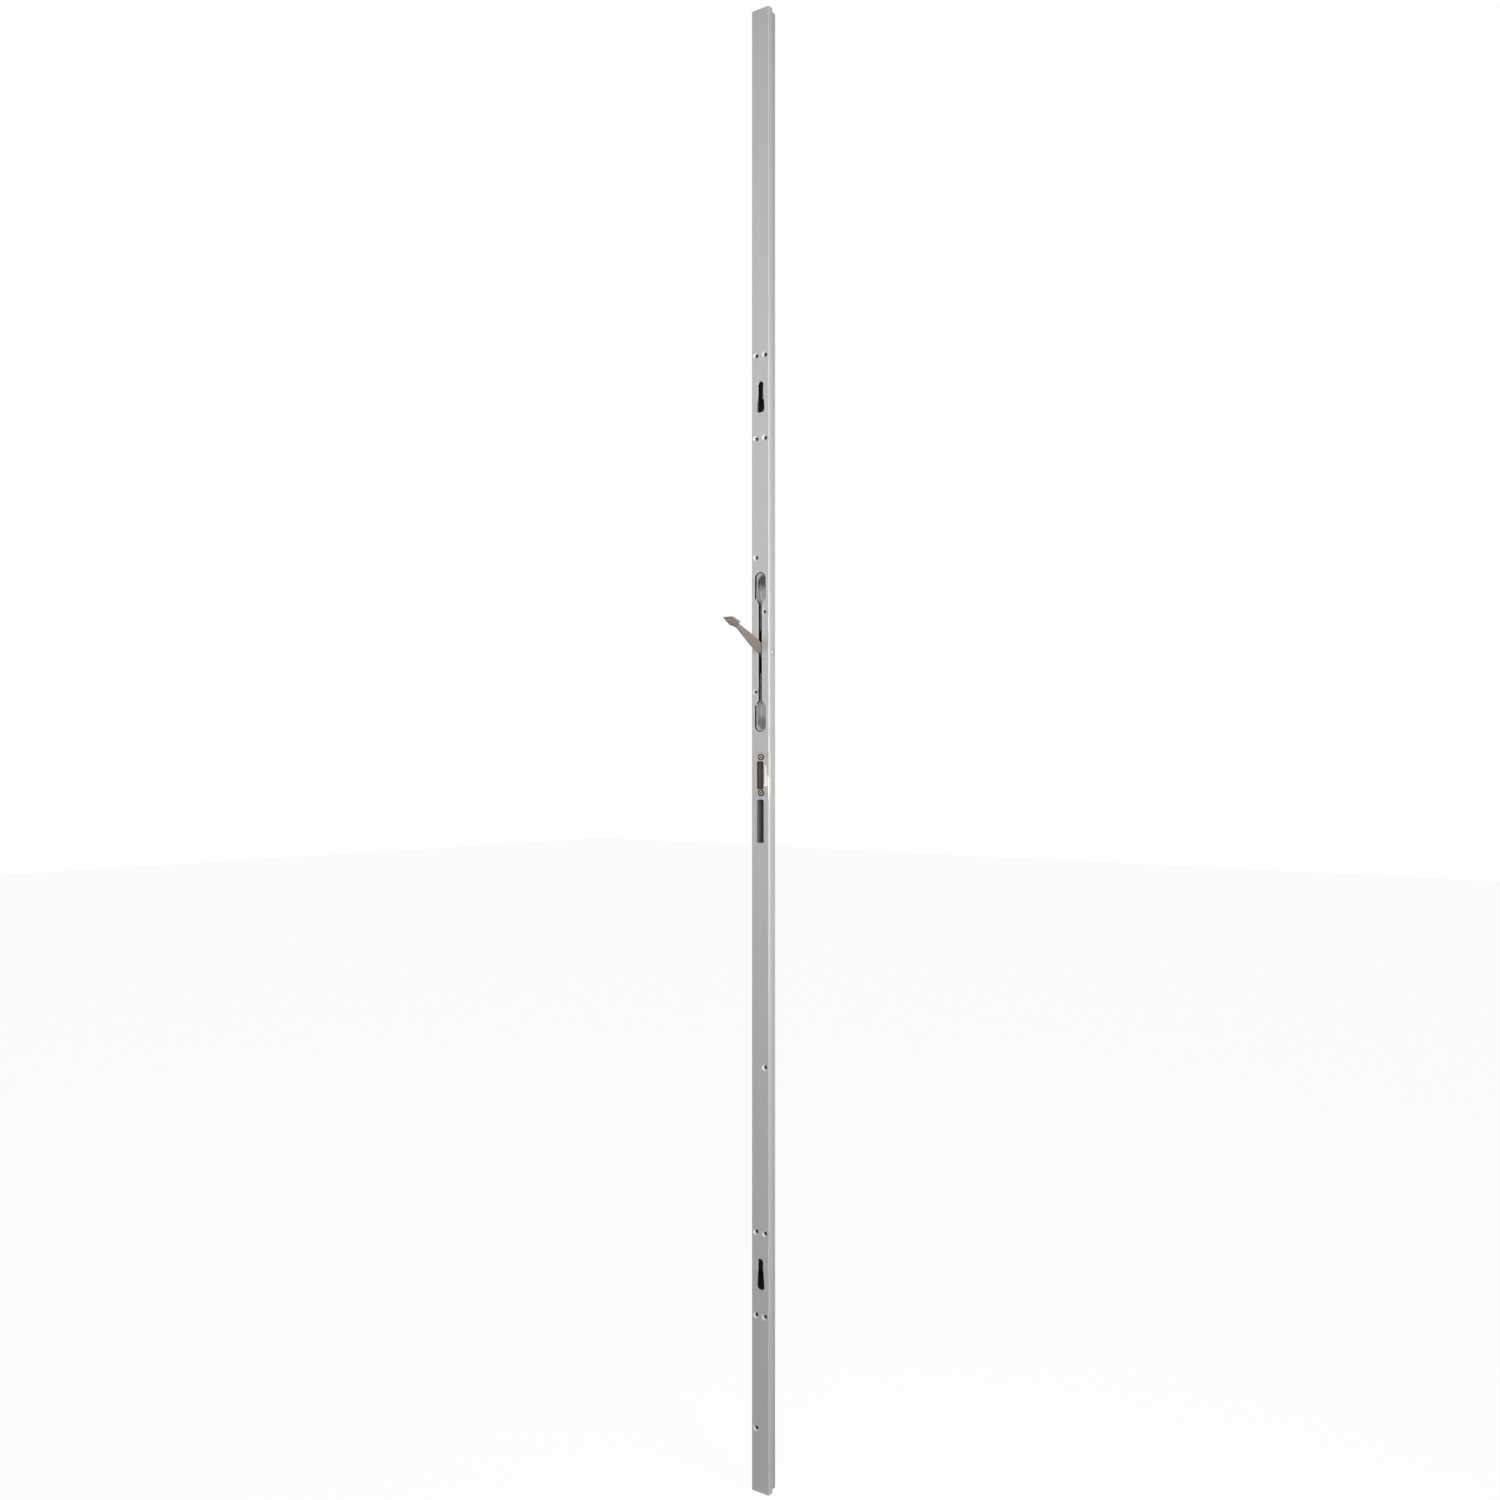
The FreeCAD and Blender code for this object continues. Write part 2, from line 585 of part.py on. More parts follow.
def make_case():
    front_half = FILL_HALF
    body = join([
        housing_bar(CASE_FOOT, CASE_TOP),
        block(-front_half, front_half, PLATE_WALL, FLANGE_DEPTH, CASE_FOOT, CASE_TOP),
        pushed(room_outline(ROOM_WALL), FLANGE_DEPTH, RACK_ROOM_DEPTH),
    ])
    half_slot = LEVER_SLOT_WIDTH / 2
    tools = []
    for side in (1, -1):
        # room for the rods in front of the ends of the case
        z0, z1 = sorted((PIVOT_Z + side * CUP_END_REACH, PIVOT_Z + side * (CASE_REACH + OVER)))
        keep = STRIKE_BODY_LEFT if side < 0 else front_half + OVER
        x1 = -keep if side < 0 else keep
        tools.append(block(-front_half - OVER, x1, PLATE_WALL - OVER, BEHIND_ROD, z0, z1))
        if side < 0:
            tools.append(block(x1 - OVER, front_half + OVER, PLATE_WALL - OVER, BEHIND_ROD,
                               STRIKE_TOP_Z, z1))
            tools.append(block(x1 - OVER, front_half + OVER, PLATE_WALL - OVER, STRIKE_DEPTH, z0,
                               STRIKE_TOP_Z + OVER))
        tools.append(pushed(recess_outline(side, CUP_WALL + SEAT_GAP / 2), PLATE_WALL - OVER, CASE_FLOOR_TOP))
        # way through for the link between rack and rod
        link_inner = RACK_OUTER_SIDE - LINK_WIDTH - SLIDE_GAP
        x0, x1 = sorted((side * link_inner, side * ROOM_HALF_WIDTH))
        reach = LINK_HEIGHT / 2 + TRAVEL + SLIDE_GAP
        middle = PIVOT_Z + side * LINK_REACH
        tools.append(block(x0, x1, PLATE_WALL, CASE_FLOOR_BACK + OVER, middle - reach, middle + reach))
    tools.append(block(-half_slot, half_slot, PLATE_WALL - OVER, CASE_FLOOR_TOP,
                       PIVOT_Z - RECESS_NECK - OVER, PIVOT_Z + RECESS_NECK + OVER))
    tools.append(block(-WELL_WIDTH / 2, WELL_WIDTH / 2, PLATE_WALL - OVER, CASE_FLOOR_TOP,
                       PIVOT_Z - WELL_HALF_LENGTH, PIVOT_Z + WELL_HALF_LENGTH))
    tools.append(block(-half_slot, half_slot, CASE_FLOOR_TOP - OVER, CASE_FLOOR_BACK + OVER,
                       PIVOT_Z - ARM_ROOM_HALF_LENGTH, PIVOT_Z + ARM_ROOM_HALF_LENGTH))
    posts = [block(-POST_HALF, POST_HALF, CASE_FLOOR_BACK, RACK_ROOM_DEPTH, z - POST_HALF, z + POST_HALF)
             for z in post_places()]
    tools.append(cut(pushed(room_outline(0), CASE_FLOOR_BACK, RACK_ROOM_DEPTH + OVER), posts))
    for x, z in case_screws_at():
        tools.append(prism_y(SHANK_SIDES, TAP_RADIUS, x, z, PLATE_WALL - OVER, CASE_FLOOR_TOP - OVER))
    tools.append(prism_y(SHANK_SIDES, TAP_RADIUS, 0, STRIKE_SCREW_HEIGHTS[0], STRIKE_DEPTH - OVER,
                         CASE_FLOOR_TOP - OVER))
    tools.append(disc_y(SCREW_HOLE_RADIUS, -SCREW_OFFSET, UPPER_SCREW_Z, PLATE_WALL, RACK_ROOM_DEPTH + OVER))
    tools.append(disc_x(AXLE_RADIUS, PIVOT_DEPTH, PIVOT_Z, -HALF_WIDTH, HALF_WIDTH))
    return join([cut(body, tools)] + cover_pegs())


def cover_pegs():
    # the posts end in square pegs, which are peened over behind the cover
    return [block(-PEG_HALF, PEG_HALF, RACK_ROOM_DEPTH, RACK_ROOM_DEPTH + COVER_THICKNESS, z - PEG_HALF,
                  z + PEG_HALF) for z in post_places()]


def make_cover():
    back = RACK_ROOM_DEPTH + COVER_THICKNESS
    plate = pushed(room_outline(ROOM_WALL), RACK_ROOM_DEPTH, back)
    return cut(plate, cover_pegs() + [disc_y(STUD_RADIUS, 0, PINION_Z, RACK_ROOM_DEPTH - OVER, back + OVER)])


def make_cup(side):
    shell = pushed(recess_outline(side, CUP_WALL), PLATE_WALL, CASE_FLOOR_TOP)
    hollow = pushed(recess_outline(side, 0), 0, CUP_DEPTH)
    half_slot = LEVER_SLOT_WIDTH / 2
    near, far = sorted((PIVOT_Z + side * (RECESS_NECK - 2 * OVER), PIVOT_Z + side * (RECESS_SHOULDER + OVER)))
    way_in = block(-half_slot, half_slot, PLATE_WALL - OVER, CUP_DEPTH, near, far)
    return shell.cut(join([hollow, way_in]))


def involute_half_angle(radius, pitch_radius, teeth):
    base = pitch_radius * math.cos(PRESSURE_ANGLE)
    lean = math.acos(min(1.0, base / radius))
    at_pitch = math.pi / (2 * teeth) - TOOTH_BACKLASH / (4 * pitch_radius)
    return at_pitch + math.tan(PRESSURE_ANGLE) - PRESSURE_ANGLE - (math.tan(lean) - lean)


def gear_teeth(pitch_radius, teeth, numbers, width):
    # teeth on the +X side at number 0, in the XY plane, from inside the root to the tip; each
    # flank follows the involute in two straight steps
    base = pitch_radius * math.cos(PRESSURE_ANGLE)
    root = pitch_radius - DEDENDUM
    tip = pitch_radius + ADDENDUM
    start = max(base, root)
    solids = []
    for number in numbers:
        turn = number * 2 * math.pi / teeth

        def spot(radius, half):
            return V(radius * math.cos(turn + half), radius * math.sin(turn + half), 0)

        low = involute_half_angle(start, pitch_radius, teeth)
        mid_radius = (start + tip) / 2
        mid = involute_half_angle(mid_radius, pitch_radius, teeth)
        high = involute_half_angle(tip, pitch_radius, teeth)
        inside = root - TOOTH_SUNK
        flank = [(inside, low), (start, low), (mid_radius, mid), (tip, high)]
        points = [spot(radius, -half) for radius, half in flank]
        points += [spot(radius, half) for radius, half in reversed(flank)]
        solids.append(Part.Face(Part.makePolygon(points + points[:1])).extrude(V(0, 0, width)))
    return solids


def rack_teeth(count_pairs, width):
    # straight-flanked teeth that point to +X from a root line at X = 0, spaced along Y, with a
    # gap at Y = 0; the width is along Z
    slope = math.tan(PRESSURE_ANGLE)
    at_pitch = TOOTH_PITCH / 4 - TOOTH_BACKLASH / 4
    foot = at_pitch + DEDENDUM * slope
    crest = at_pitch - ADDENDUM * slope
    height = DEDENDUM + ADDENDUM
    solids = []
    for number in range(-count_pairs, count_pairs):
        y = (number + 0.5) * TOOTH_PITCH
        points = [V(-TOOTH_SUNK, y - foot, 0), V(0, y - foot, 0), V(height, y - crest, 0),
                  V(height, y + crest, 0), V(0, y + foot, 0), V(-TOOTH_SUNK, y + foot, 0)]
        face = Part.Face(Part.makePolygon(points + points[:1]))
        solids.append(face.extrude(V(0, 0, width)))
    return solids


def placed(shape, x_axis, y_axis, origin):
    # carry a shape from its own XY plane to the plane of two given axes
    z_axis = x_axis.cross(y_axis)
    matrix = FreeCAD.Matrix(x_axis.x, y_axis.x, z_axis.x, origin.x,
                            x_axis.y, y_axis.y, z_axis.y, origin.y,
                            x_axis.z, y_axis.z, z_axis.z, origin.z,
                            0, 0, 0, 1)
    moved = shape.copy()
    moved.Placement = FreeCAD.Placement(matrix)
    return moved


def to_rest(shape):
    # swing a lever piece from straight out to the angle that it stands at
    moved = shape.copy()
    moved.rotate(V(0, at_depth(PIVOT_DEPTH), PIVOT_Z), V(1, 0, 0), -LEVER_REST)
    return moved


def make_lever():
    # drawn straight out: the arm points to -Y, the teeth to +Y
    pivot = V(0, at_depth(PIVOT_DEPTH), PIVOT_Z)
    half = LEVER_THICKNESS / 2
    root = HUB_PITCH_RADIUS - DEDENDUM
    outline = [(0, root), (BOSS_RADIUS, root), (LEVER_ROOT_REACH, LEVER_ROOT_WIDTH / 2),
               (LEVER_BROAD_REACH, LEVER_ROOT_WIDTH / 2), (LEVER_NECK_REACH, LEVER_NECK_WIDTH / 2),
               (LEVER_LENGTH - HEAD_LENGTH, HEAD_THICKNESS / 2)]
    upper = [V(-half, pivot.y - reach, pivot.z + rise) for reach, rise in outline]
    lower = [V(-half, pivot.y - reach, pivot.z - rise) for reach, rise in reversed(outline)]
    arm = Part.Face(Part.makePolygon(upper + lower + upper[:1])).extrude(V(LEVER_THICKNESS, 0, 0))
    rims = []
    for edge in arm.Edges:
        ends = [vertex.Point for vertex in edge.Vertexes]
        along = abs(ends[0].x - ends[1].x) < 1e-6
        if along and abs(ends[0].y - ends[1].y) > 1 and max(end.y for end in ends) < pivot.y - 1:
            rims.append(edge)
    arm = arm.makeChamfer(LEVER_EDGE, rims)
    tip = pivot.y - LEVER_LENGTH
    shoulder = tip + HEAD_LENGTH
    waist = shoulder + HEAD_SHOULDER
    paddle = [V(-half, waist, 0), V(-HEAD_WIDTH / 2, shoulder, 0), V(-HEAD_WIDTH / 2, tip, 0),
              V(HEAD_WIDTH / 2, tip, 0), V(HEAD_WIDTH / 2, shoulder, 0), V(half, waist, 0)]
    head = Part.Face(Part.makePolygon(paddle + paddle[:1])).extrude(V(0, 0, HEAD_THICKNESS))
    head.translate(V(0, 0, pivot.z - HEAD_THICKNESS / 2))
    corners = edges_along(head, V(0, 0, 1), lambda middle: abs(middle.x) > half + 1)
    head = head.makeChamfer(HEAD_CORNER, corners)
    hub = disc_x(root, PIVOT_DEPTH, PIVOT_Z, -half, half)
    boss = disc_x(BOSS_RADIUS, PIVOT_DEPTH, PIVOT_Z, -WELL_WIDTH / 2 + SIDE_GAP, WELL_WIDTH / 2 - SIDE_GAP)
    numbers = range(-HUB_TOOTH_PAIRS, HUB_TOOTH_PAIRS + 1)
    teeth = gear_teeth(HUB_PITCH_RADIUS, HUB_TEETH, numbers, LEVER_THICKNESS)
    teeth = [placed(tooth, V(0, 1, 0), V(0, 0, 1), pivot - V(half, 0, 0)) for tooth in teeth]
    lever = join([arm, head, hub, boss] + teeth)
    bore = disc_x(AXLE_RADIUS + SHAFT_GAP + BUSH_WALL, PIVOT_DEPTH, PIVOT_Z, -HALF_WIDTH, HALF_WIDTH)
    return to_rest(lever.cut(bore))


def make_bush():
    reach = WELL_WIDTH / 2 - SIDE_GAP
    outer = disc_x(AXLE_RADIUS + SHAFT_GAP + BUSH_WALL, PIVOT_DEPTH, PIVOT_Z, -reach, reach)
    return outer.cut(disc_x(AXLE_RADIUS + SHAFT_GAP, PIVOT_DEPTH, PIVOT_Z, -HALF_WIDTH, HALF_WIDTH))


def make_axle():
    half = HOUSING_WIDTH / 2
    return disc_x(AXLE_RADIUS, PIVOT_DEPTH, PIVOT_Z, -half, half)


def make_rack(side):
    # side is -1 for the rack that drives the lower rod and 1 for the one that drives the upper rod
    x0, x1 = sorted((side * (RACK_OUTER_SIDE - RACK_LEG_WIDTH), side * RACK_OUTER_SIDE))
    end = PIVOT_Z + side * (LINK_REACH + LINK_HEIGHT / 2)
    teeth_reach = RACK_TEETH_PAIRS * TOOTH_PITCH
    start = PIVOT_Z + RACK_HEAD_REACH if side < 0 else PINION_Z - teeth_reach
    z0, z1 = sorted((start, end))
    pieces = [block(x0, x1, RACK_FRONT, RACK_BACK, z0, z1)]
    # teeth towards the reversing pinion
    front = (RACK_FRONT + RACK_BACK - PINION_WIDTH) / 2
    root = V(side * (RACK_OUTER_SIDE - RACK_LEG_WIDTH), at_depth(front), PINION_Z)
    for tooth in rack_teeth(RACK_TEETH_PAIRS, PINION_WIDTH):
        pieces.append(placed(tooth, V(-side, 0, 0), V(0, 0, side), root))
    if side < 0:
        # head behind the lever hub, with the teeth that the hub drives
        half = LEVER_THICKNESS / 2
        root_depth = RACK_PITCH_DEPTH + DEDENDUM
        pieces.append(block(-RACK_OUTER_SIDE, half, root_depth, RACK_BACK,
                            PIVOT_Z - RACK_HEAD_REACH, PIVOT_Z + RACK_HEAD_REACH))
        for tooth in rack_teeth(RACK_TEETH_PAIRS, LEVER_THICKNESS):
            pieces.append(placed(tooth, V(0, -1, 0), V(0, 0, 1), V(half, at_depth(root_depth), PIVOT_Z)))
    return moved_up(join(pieces).cut(tenon(side, RACK_FRONT - OVER, RACK_BACK + OVER)), side)


def tenon(side, d0, d1):
    middle_x = side * (RACK_OUTER_SIDE - LINK_WIDTH / 2)
    middle_z = PIVOT_Z + side * LINK_REACH
    return block(middle_x - TENON_WIDTH / 2, middle_x + TENON_WIDTH / 2, d0, d1,
                 middle_z - TENON_HEIGHT / 2, middle_z + TENON_HEIGHT / 2)


def make_link(side):
    # block between rod and rack, with a peened tenon through each
    x0, x1 = sorted((side * (RACK_OUTER_SIDE - LINK_WIDTH), side * RACK_OUTER_SIDE))
    middle_z = PIVOT_Z + side * LINK_REACH
    neck = block(x0, x1, ROD_BACK, RACK_FRONT, middle_z - LINK_HEIGHT / 2, middle_z + LINK_HEIGHT / 2)
    return moved_up(join([neck, tenon(side, ROD_FRONT, RACK_BACK)]), side)


def moved_up(shape, side):
    moved = shape.copy()
    moved.translate(V(0, 0, side * REST_SHIFT))
    return moved


def rod_gap(z0, z1, x0, x1):
    # window in a rod round something fixed, with room for the rod's whole travel
    reach = TRAVEL + ROD_SLOT_GAP
    return block(x0, x1, ROD_FRONT - OVER, ROD_BACK + OVER, z0 - reach, z1 + reach)


def rod_screw_slot(x, z):
    half = SCREW_HOLE_RADIUS + ROD_SLOT_GAP
    reach = half + TRAVEL
    return block(x - half, x + half, ROD_FRONT - OVER, ROD_BACK + OVER, z - reach, z + reach)


def rod_hook_window(centre):
    half = HOOK_SLOT_FOOT_WIDTH / 2 + ROD_SLOT_GAP
    length = HOOK_SLOT_LENGTH / 2
    return rod_gap(centre - length, centre + length, -half, half)


def coupler_pegs(side):
    # square pegs on the coupler that pass through the rod and are peened over in front
    near = side * (ROD_END_Z - COUPLER_LENGTH)
    half = COUPLER_PEG_HALF
    return [block(-half, half, ROD_FRONT, ROD_BACK, z - half, z + half)
            for z in (near + side * COUPLER_PEG_PITCH / 2, near + side * 1.5 * COUPLER_PEG_PITCH)]


def make_rod(side):
    half = ROD_WIDTH / 2
    link_z = PIVOT_Z + side * LINK_REACH
    start = link_z - side * LINK_HEIGHT / 2
    z0, z1 = sorted((start, side * (ROD_END_Z - COUPLER_NOSE)))
    rod = block(-half, half, ROD_FRONT, ROD_BACK, z0, z1)
    tools = [tenon(side, ROD_FRONT - OVER, ROD_BACK + OVER)]
    centre = HOOK_UPPER_Z if side > 0 else HOOK_LOWER_Z
    tools.append(rod_hook_window(centre))
    for x, z in fixing_holes():
        if z * side > CASE_TOP:
            tools.append(rod_screw_slot(x, z))
    if side > 0:
        # only a strip on the right runs down past the upper fixing screw to the link
        tools.append(rod_gap(start - OVER, UPPER_SCREW_Z + SCREW_HOLE_RADIUS, -half - OVER, ROD_INNER_EDGE))
    else:
        # a strip on the left passes the latch strike, two strips pass the deadbolt slot
        tools.append(block(-ROD_INNER_EDGE, half + OVER, ROD_FRONT - OVER, ROD_BACK + OVER,
                           STRIKE_FOOT_Z - TRAVEL, start + OVER))
        tools.append(rod_gap(CARRIER_FOOT_Z, CASE_FOOT, -ROD_STRIP_EDGE, half + OVER))
        tools.append(rod_gap(BOLT_SLOT_FOOT_Z - NECK_OUT, BOLT_SLOT_TOP_Z + NECK_OUT,
                             -ROD_STRIP_EDGE, ROD_STRIP_EDGE))
    return moved_up(cut(rod, tools + coupler_pegs(side)), side)


def make_coupler(side):
    far = side * ROD_END_Z
    z0, z1 = sorted((far, far - side * COUPLER_LENGTH))
    body = block(-COUPLER_WIDTH / 2, COUPLER_WIDTH / 2, ROD_BACK, COUPLER_DEPTH, z0, z1)
    back = edges_along(body, V(0, 0, 1), lambda middle: middle.y > at_depth(COUPLER_DEPTH - 1))
    body = body.makeChamfer(HOUSING_EDGE_ROUND, back)
    n0, n1 = sorted((far, far - side * COUPLER_NOSE))
    nose = block(-COUPLER_WIDTH / 2, COUPLER_WIDTH / 2, ROD_FRONT, ROD_BACK, n0, n1)
    t0, t1 = sorted((far + side, far - side * COUPLER_THREAD_LENGTH))
    thread = disc_z(COUPLER_THREAD_RADIUS, 0, COUPLER_AXIS_DEPTH, t0, t1)
    return moved_up(join([body, nose] + coupler_pegs(side)).cut(thread), side)


def make_pinion():
    front = (RACK_FRONT + RACK_BACK - PINION_WIDTH) / 2
    origin = V(0, at_depth(front), PINION_Z)
    root = disc_y(PINION_PITCH_RADIUS - DEDENDUM, 0, PINION_Z, front, front + PINION_WIDTH)
    teeth = gear_teeth(PINION_PITCH_RADIUS, PINION_TEETH, range(PINION_TEETH), PINION_WIDTH)
    teeth = [placed(tooth, V(0, 0, 1), V(1, 0, 0), origin) for tooth in teeth]
    pinion = join([root] + teeth)
    pinion = pinion.cut(disc_y(STUD_RADIUS + SHAFT_GAP, 0, PINION_Z,
                               front - OVER, front + PINION_WIDTH + OVER))
    turn = math.degrees(REST_SHIFT / PINION_PITCH_RADIUS)
    pinion.rotate(origin, V(0, 1, 0), -turn)
    return pinion


def make_stud():
    return disc_y(STUD_RADIUS, 0, PINION_Z, CASE_FLOOR_BACK, RACK_ROOM_DEPTH + COVER_THICKNESS)


def make_guides(places):
    side = FILL_HALF
    half = GUIDE_LENGTH / 2
    guides = []
    for z in places:
        body = block(-side, side, BEHIND_ROD, HOUSING_FLOOR, z - half, z + half)
        hollow = block(GUIDE_SIDE - side, side - GUIDE_SIDE, BEHIND_ROD + GUIDE_FACE, HOUSING_FLOOR + OVER,
                       z - half + GUIDE_END, z + half - GUIDE_END)
        guides.append(body.cut(hollow))
    return Part.makeCompound(guides)


def make_plug(side):
    half = FILL_HALF
    z0, z1 = sorted((side * HOUSING_END_Z, side * (HOUSING_END_Z - PLUG_LENGTH)))
    body = block(-half, half, PLATE_WALL, HOUSING_FLOOR, z0, z1)
    return body.cut(disc_z(PLUG_BORE_RADIUS, 0, COUPLER_AXIS_DEPTH, z0 - OVER, z1 + OVER))


def strike_screw_solids():
    return Part.makeCompound([screw_y(0, z, STRIKE_SINK_RADIUS, STRIKE_SINK_DEPTH, SCREW_LENGTH, TAP_RADIUS)
                              for z in STRIKE_SCREW_HEIGHTS])


def case_screw_solids():
    return Part.makeCompound([screw_y(x, z, SINK_RADIUS, SINK_DEPTH, SCREW_LENGTH, TAP_RADIUS)
                              for x, z in case_screws_at()])


NODES = {
    "faceplate": make_faceplate,
    "channel_upper": lambda: make_channel(CASE_TOP, HOUSING_END_Z, [hook_window(HOOK_UPPER_Z)]),
    "channel_lower": lambda: make_channel(-HOUSING_END_Z, CASE_FOOT,
                                          [hook_window(HOOK_LOWER_Z), bolt_window()]),
    "gear_case": make_case,
    "gear_case_cover": make_cover,
    "case_screws": case_screw_solids,
    "finger_cup_upper": lambda: make_cup(1),
    "finger_cup_lower": lambda: make_cup(-1),
    "lever_axle": make_axle,
    "pinion_stud": make_stud,
    "hook_keeper_upper": lambda: make_keeper(HOOK_UPPER_Z),
    "hook_keeper_lower": lambda: make_keeper(HOOK_LOWER_Z),
    "latch_strike": make_strike,
    "strike_screws": strike_screw_solids,
    "strike_carrier": make_carrier,
    "deadbolt_pocket": make_bolt_pocket,
    "rod_guides_upper": lambda: make_guides(UPPER_GUIDES + (TOP_GUIDE_Z,)),
    "rod_guides_lower": lambda: make_guides(LOWER_GUIDES + (BOTTOM_GUIDE_Z,)),
    "end_plug_top": lambda: make_plug(1),
    "end_plug_bottom": lambda: make_plug(-1),
    "lever": make_lever,
    "lever_bush": make_bush,
    "rack_lower": lambda: make_rack(-1),
    "link_lower": lambda: make_link(-1),
    "rod_lower": lambda: make_rod(-1),
    "coupler_lower": lambda: make_coupler(-1),
    "rack_upper": lambda: make_rack(1),
    "link_upper": lambda: make_link(1),
    "rod_upper": lambda: make_rod(1),
    "coupler_upper": lambda: make_coupler(1),
    "reversing_pinion": make_pinion,
}

for name, make in NODES.items():
    shape = make()
    shape.translate(V(0, 0, -ORIGIN_Z))
    box = shape.BoundBox
    print(name, "solids", len(shape.Solids), "valid", shape.isValid(), "volume %.1f" % shape.Volume,
          "x %.2f %.2f" % (box.XMin, box.XMax), "y %.2f %.2f" % (box.YMin, box.YMax),
          "z %.2f %.2f" % (box.ZMin, box.ZMax))
    shape.exportStep("parts/%s.step" % name)
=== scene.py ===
# %% [markdown]
# # A multipoint door lock, dressed in Blender
# The lock is a long U-shaped faceplate with slots for another door leaf's hooks, latch and bolt, and
# with a small fold-out lever that drives two rods. The construction comes from CAD as a fixed frame.
# Here we give every piece its finish, and we rebuild the pieces whose edges and hollows the camera
# sees from close by. Everything is in metres, in the frame of the CAD model.

# %% Load the frame
import bpy
import bmesh
import json
import math
from mathutils import Matrix, Vector

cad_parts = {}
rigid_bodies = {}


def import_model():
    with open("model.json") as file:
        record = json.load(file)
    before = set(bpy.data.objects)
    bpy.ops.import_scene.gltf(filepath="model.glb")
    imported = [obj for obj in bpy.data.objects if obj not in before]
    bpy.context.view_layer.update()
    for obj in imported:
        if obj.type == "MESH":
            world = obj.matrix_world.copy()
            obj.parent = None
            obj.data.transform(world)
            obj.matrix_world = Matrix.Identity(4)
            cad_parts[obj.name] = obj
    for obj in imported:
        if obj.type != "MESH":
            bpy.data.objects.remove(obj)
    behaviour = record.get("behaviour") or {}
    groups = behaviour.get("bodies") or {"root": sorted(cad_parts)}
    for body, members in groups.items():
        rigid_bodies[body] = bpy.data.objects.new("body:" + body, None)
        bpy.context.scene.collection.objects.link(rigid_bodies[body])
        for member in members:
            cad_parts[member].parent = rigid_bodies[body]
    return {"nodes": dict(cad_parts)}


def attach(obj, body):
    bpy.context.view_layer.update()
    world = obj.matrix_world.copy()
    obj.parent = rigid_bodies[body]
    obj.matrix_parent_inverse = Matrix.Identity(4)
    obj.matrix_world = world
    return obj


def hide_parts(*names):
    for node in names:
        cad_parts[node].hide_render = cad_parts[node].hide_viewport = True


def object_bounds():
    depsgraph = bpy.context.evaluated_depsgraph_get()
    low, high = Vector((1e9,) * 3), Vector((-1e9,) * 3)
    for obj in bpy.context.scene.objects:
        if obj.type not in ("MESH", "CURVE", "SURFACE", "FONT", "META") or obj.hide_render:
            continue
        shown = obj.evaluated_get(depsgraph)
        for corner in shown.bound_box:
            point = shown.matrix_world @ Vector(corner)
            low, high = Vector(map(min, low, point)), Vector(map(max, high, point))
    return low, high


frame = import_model()
cad_box = [list(corner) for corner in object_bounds()]
NODES = frame["nodes"]
print("nodes:", len(NODES), "box:", cad_box)

# %% [markdown]
# The CAD source measures depth back from the plate's front face and height from the middle of the
# plate. One small function turns such numbers, in millimetres, into a point of the frame, so that
# the sizes below read like the ones on the real lock.

# %% Sizes and places
MM = 0.001
HOUSING_DEPTH = 12.0
MIDDLE_HEIGHT = 26.543
PLATE_LENGTH = 1600.0
PLATE_HALF = 12.0
PLATE_WALL = 2.5
PLATE_CORNER = 0.8
FLANGE_DEPTH = 6.0
PIVOT_HEIGHT = 106.5
PIVOT_DEPTH = 6.5
SCREW_OFFSET = 6.0
HOLE_RADIUS, SINK_RADIUS = 2.1, 3.75
HOOK_HEIGHTS = (381.7, -564.6)
HOOK_SCREW_SPAN = 89.6
STRIKE_TOP, STRIKE_FOOT = -1.793, -49.093
STRIKE_DEPTH = 4.5
AXLE_HOLE = 2.65
STRIKE_SCREWS = (STRIKE_TOP - 5.1, STRIKE_FOOT + 3.6)
STRIKE_SLOT = 1.8
LATCH_TOP, LATCH_FOOT = -11.293, -41.793
LATCH_HALF = 4.3
BOLT_TOP, BOLT_FOOT = -52.693, -99.393
BOLT_HALF = 4.75
SLOT_HALF = 2.0
RECESS_HALF = 7.15
RECESS_NECK, RECESS_SHOULDER, RECESS_END = 52.0, 58.0, 86.2
CUP_WALL = 0.8
CASE_FLOOR = 10.6
CASE_SCREWS = ((SCREW_OFFSET, PIVOT_HEIGHT + 43.2), (-SCREW_OFFSET, PIVOT_HEIGHT - 43.2))
LEVER_REST = math.radians(30.0)
SINGLE_HOLES = ((-SCREW_OFFSET, 208.493), (SCREW_OFFSET, -341.0), (-SCREW_OFFSET, -731.6))


def at(x, depth, height):
    return Vector((x, depth - HOUSING_DEPTH, height + MIDDLE_HEIGHT)) * MM


print("pivot at", tuple(round(v, 4) for v in at(0, PIVOT_DEPTH, PIVOT_HEIGHT)))

# %% [markdown]
# ## Camera
# The photograph looks at the lock from its right, about 39 degrees round from straight ahead and
# level with its middle. A long upright object shows perspective in how its top and bottom edges
# slope, so distance and lens are set together to give those slopes and the same height in frame.

# %% Camera
VIEW_TURN = math.radians(38.8)
VIEW_DISTANCE = 1.70
VIEW_SHIFT = -0.011
target = Vector((0.0, -HOUSING_DEPTH * MM, MIDDLE_HEIGHT * MM + 0.0008))
away = Vector((math.sin(VIEW_TURN), -math.cos(VIEW_TURN), 0.0))
right = Vector((math.cos(VIEW_TURN), math.sin(VIEW_TURN), 0.0))
eye = target + away * VIEW_DISTANCE + right * VIEW_SHIFT

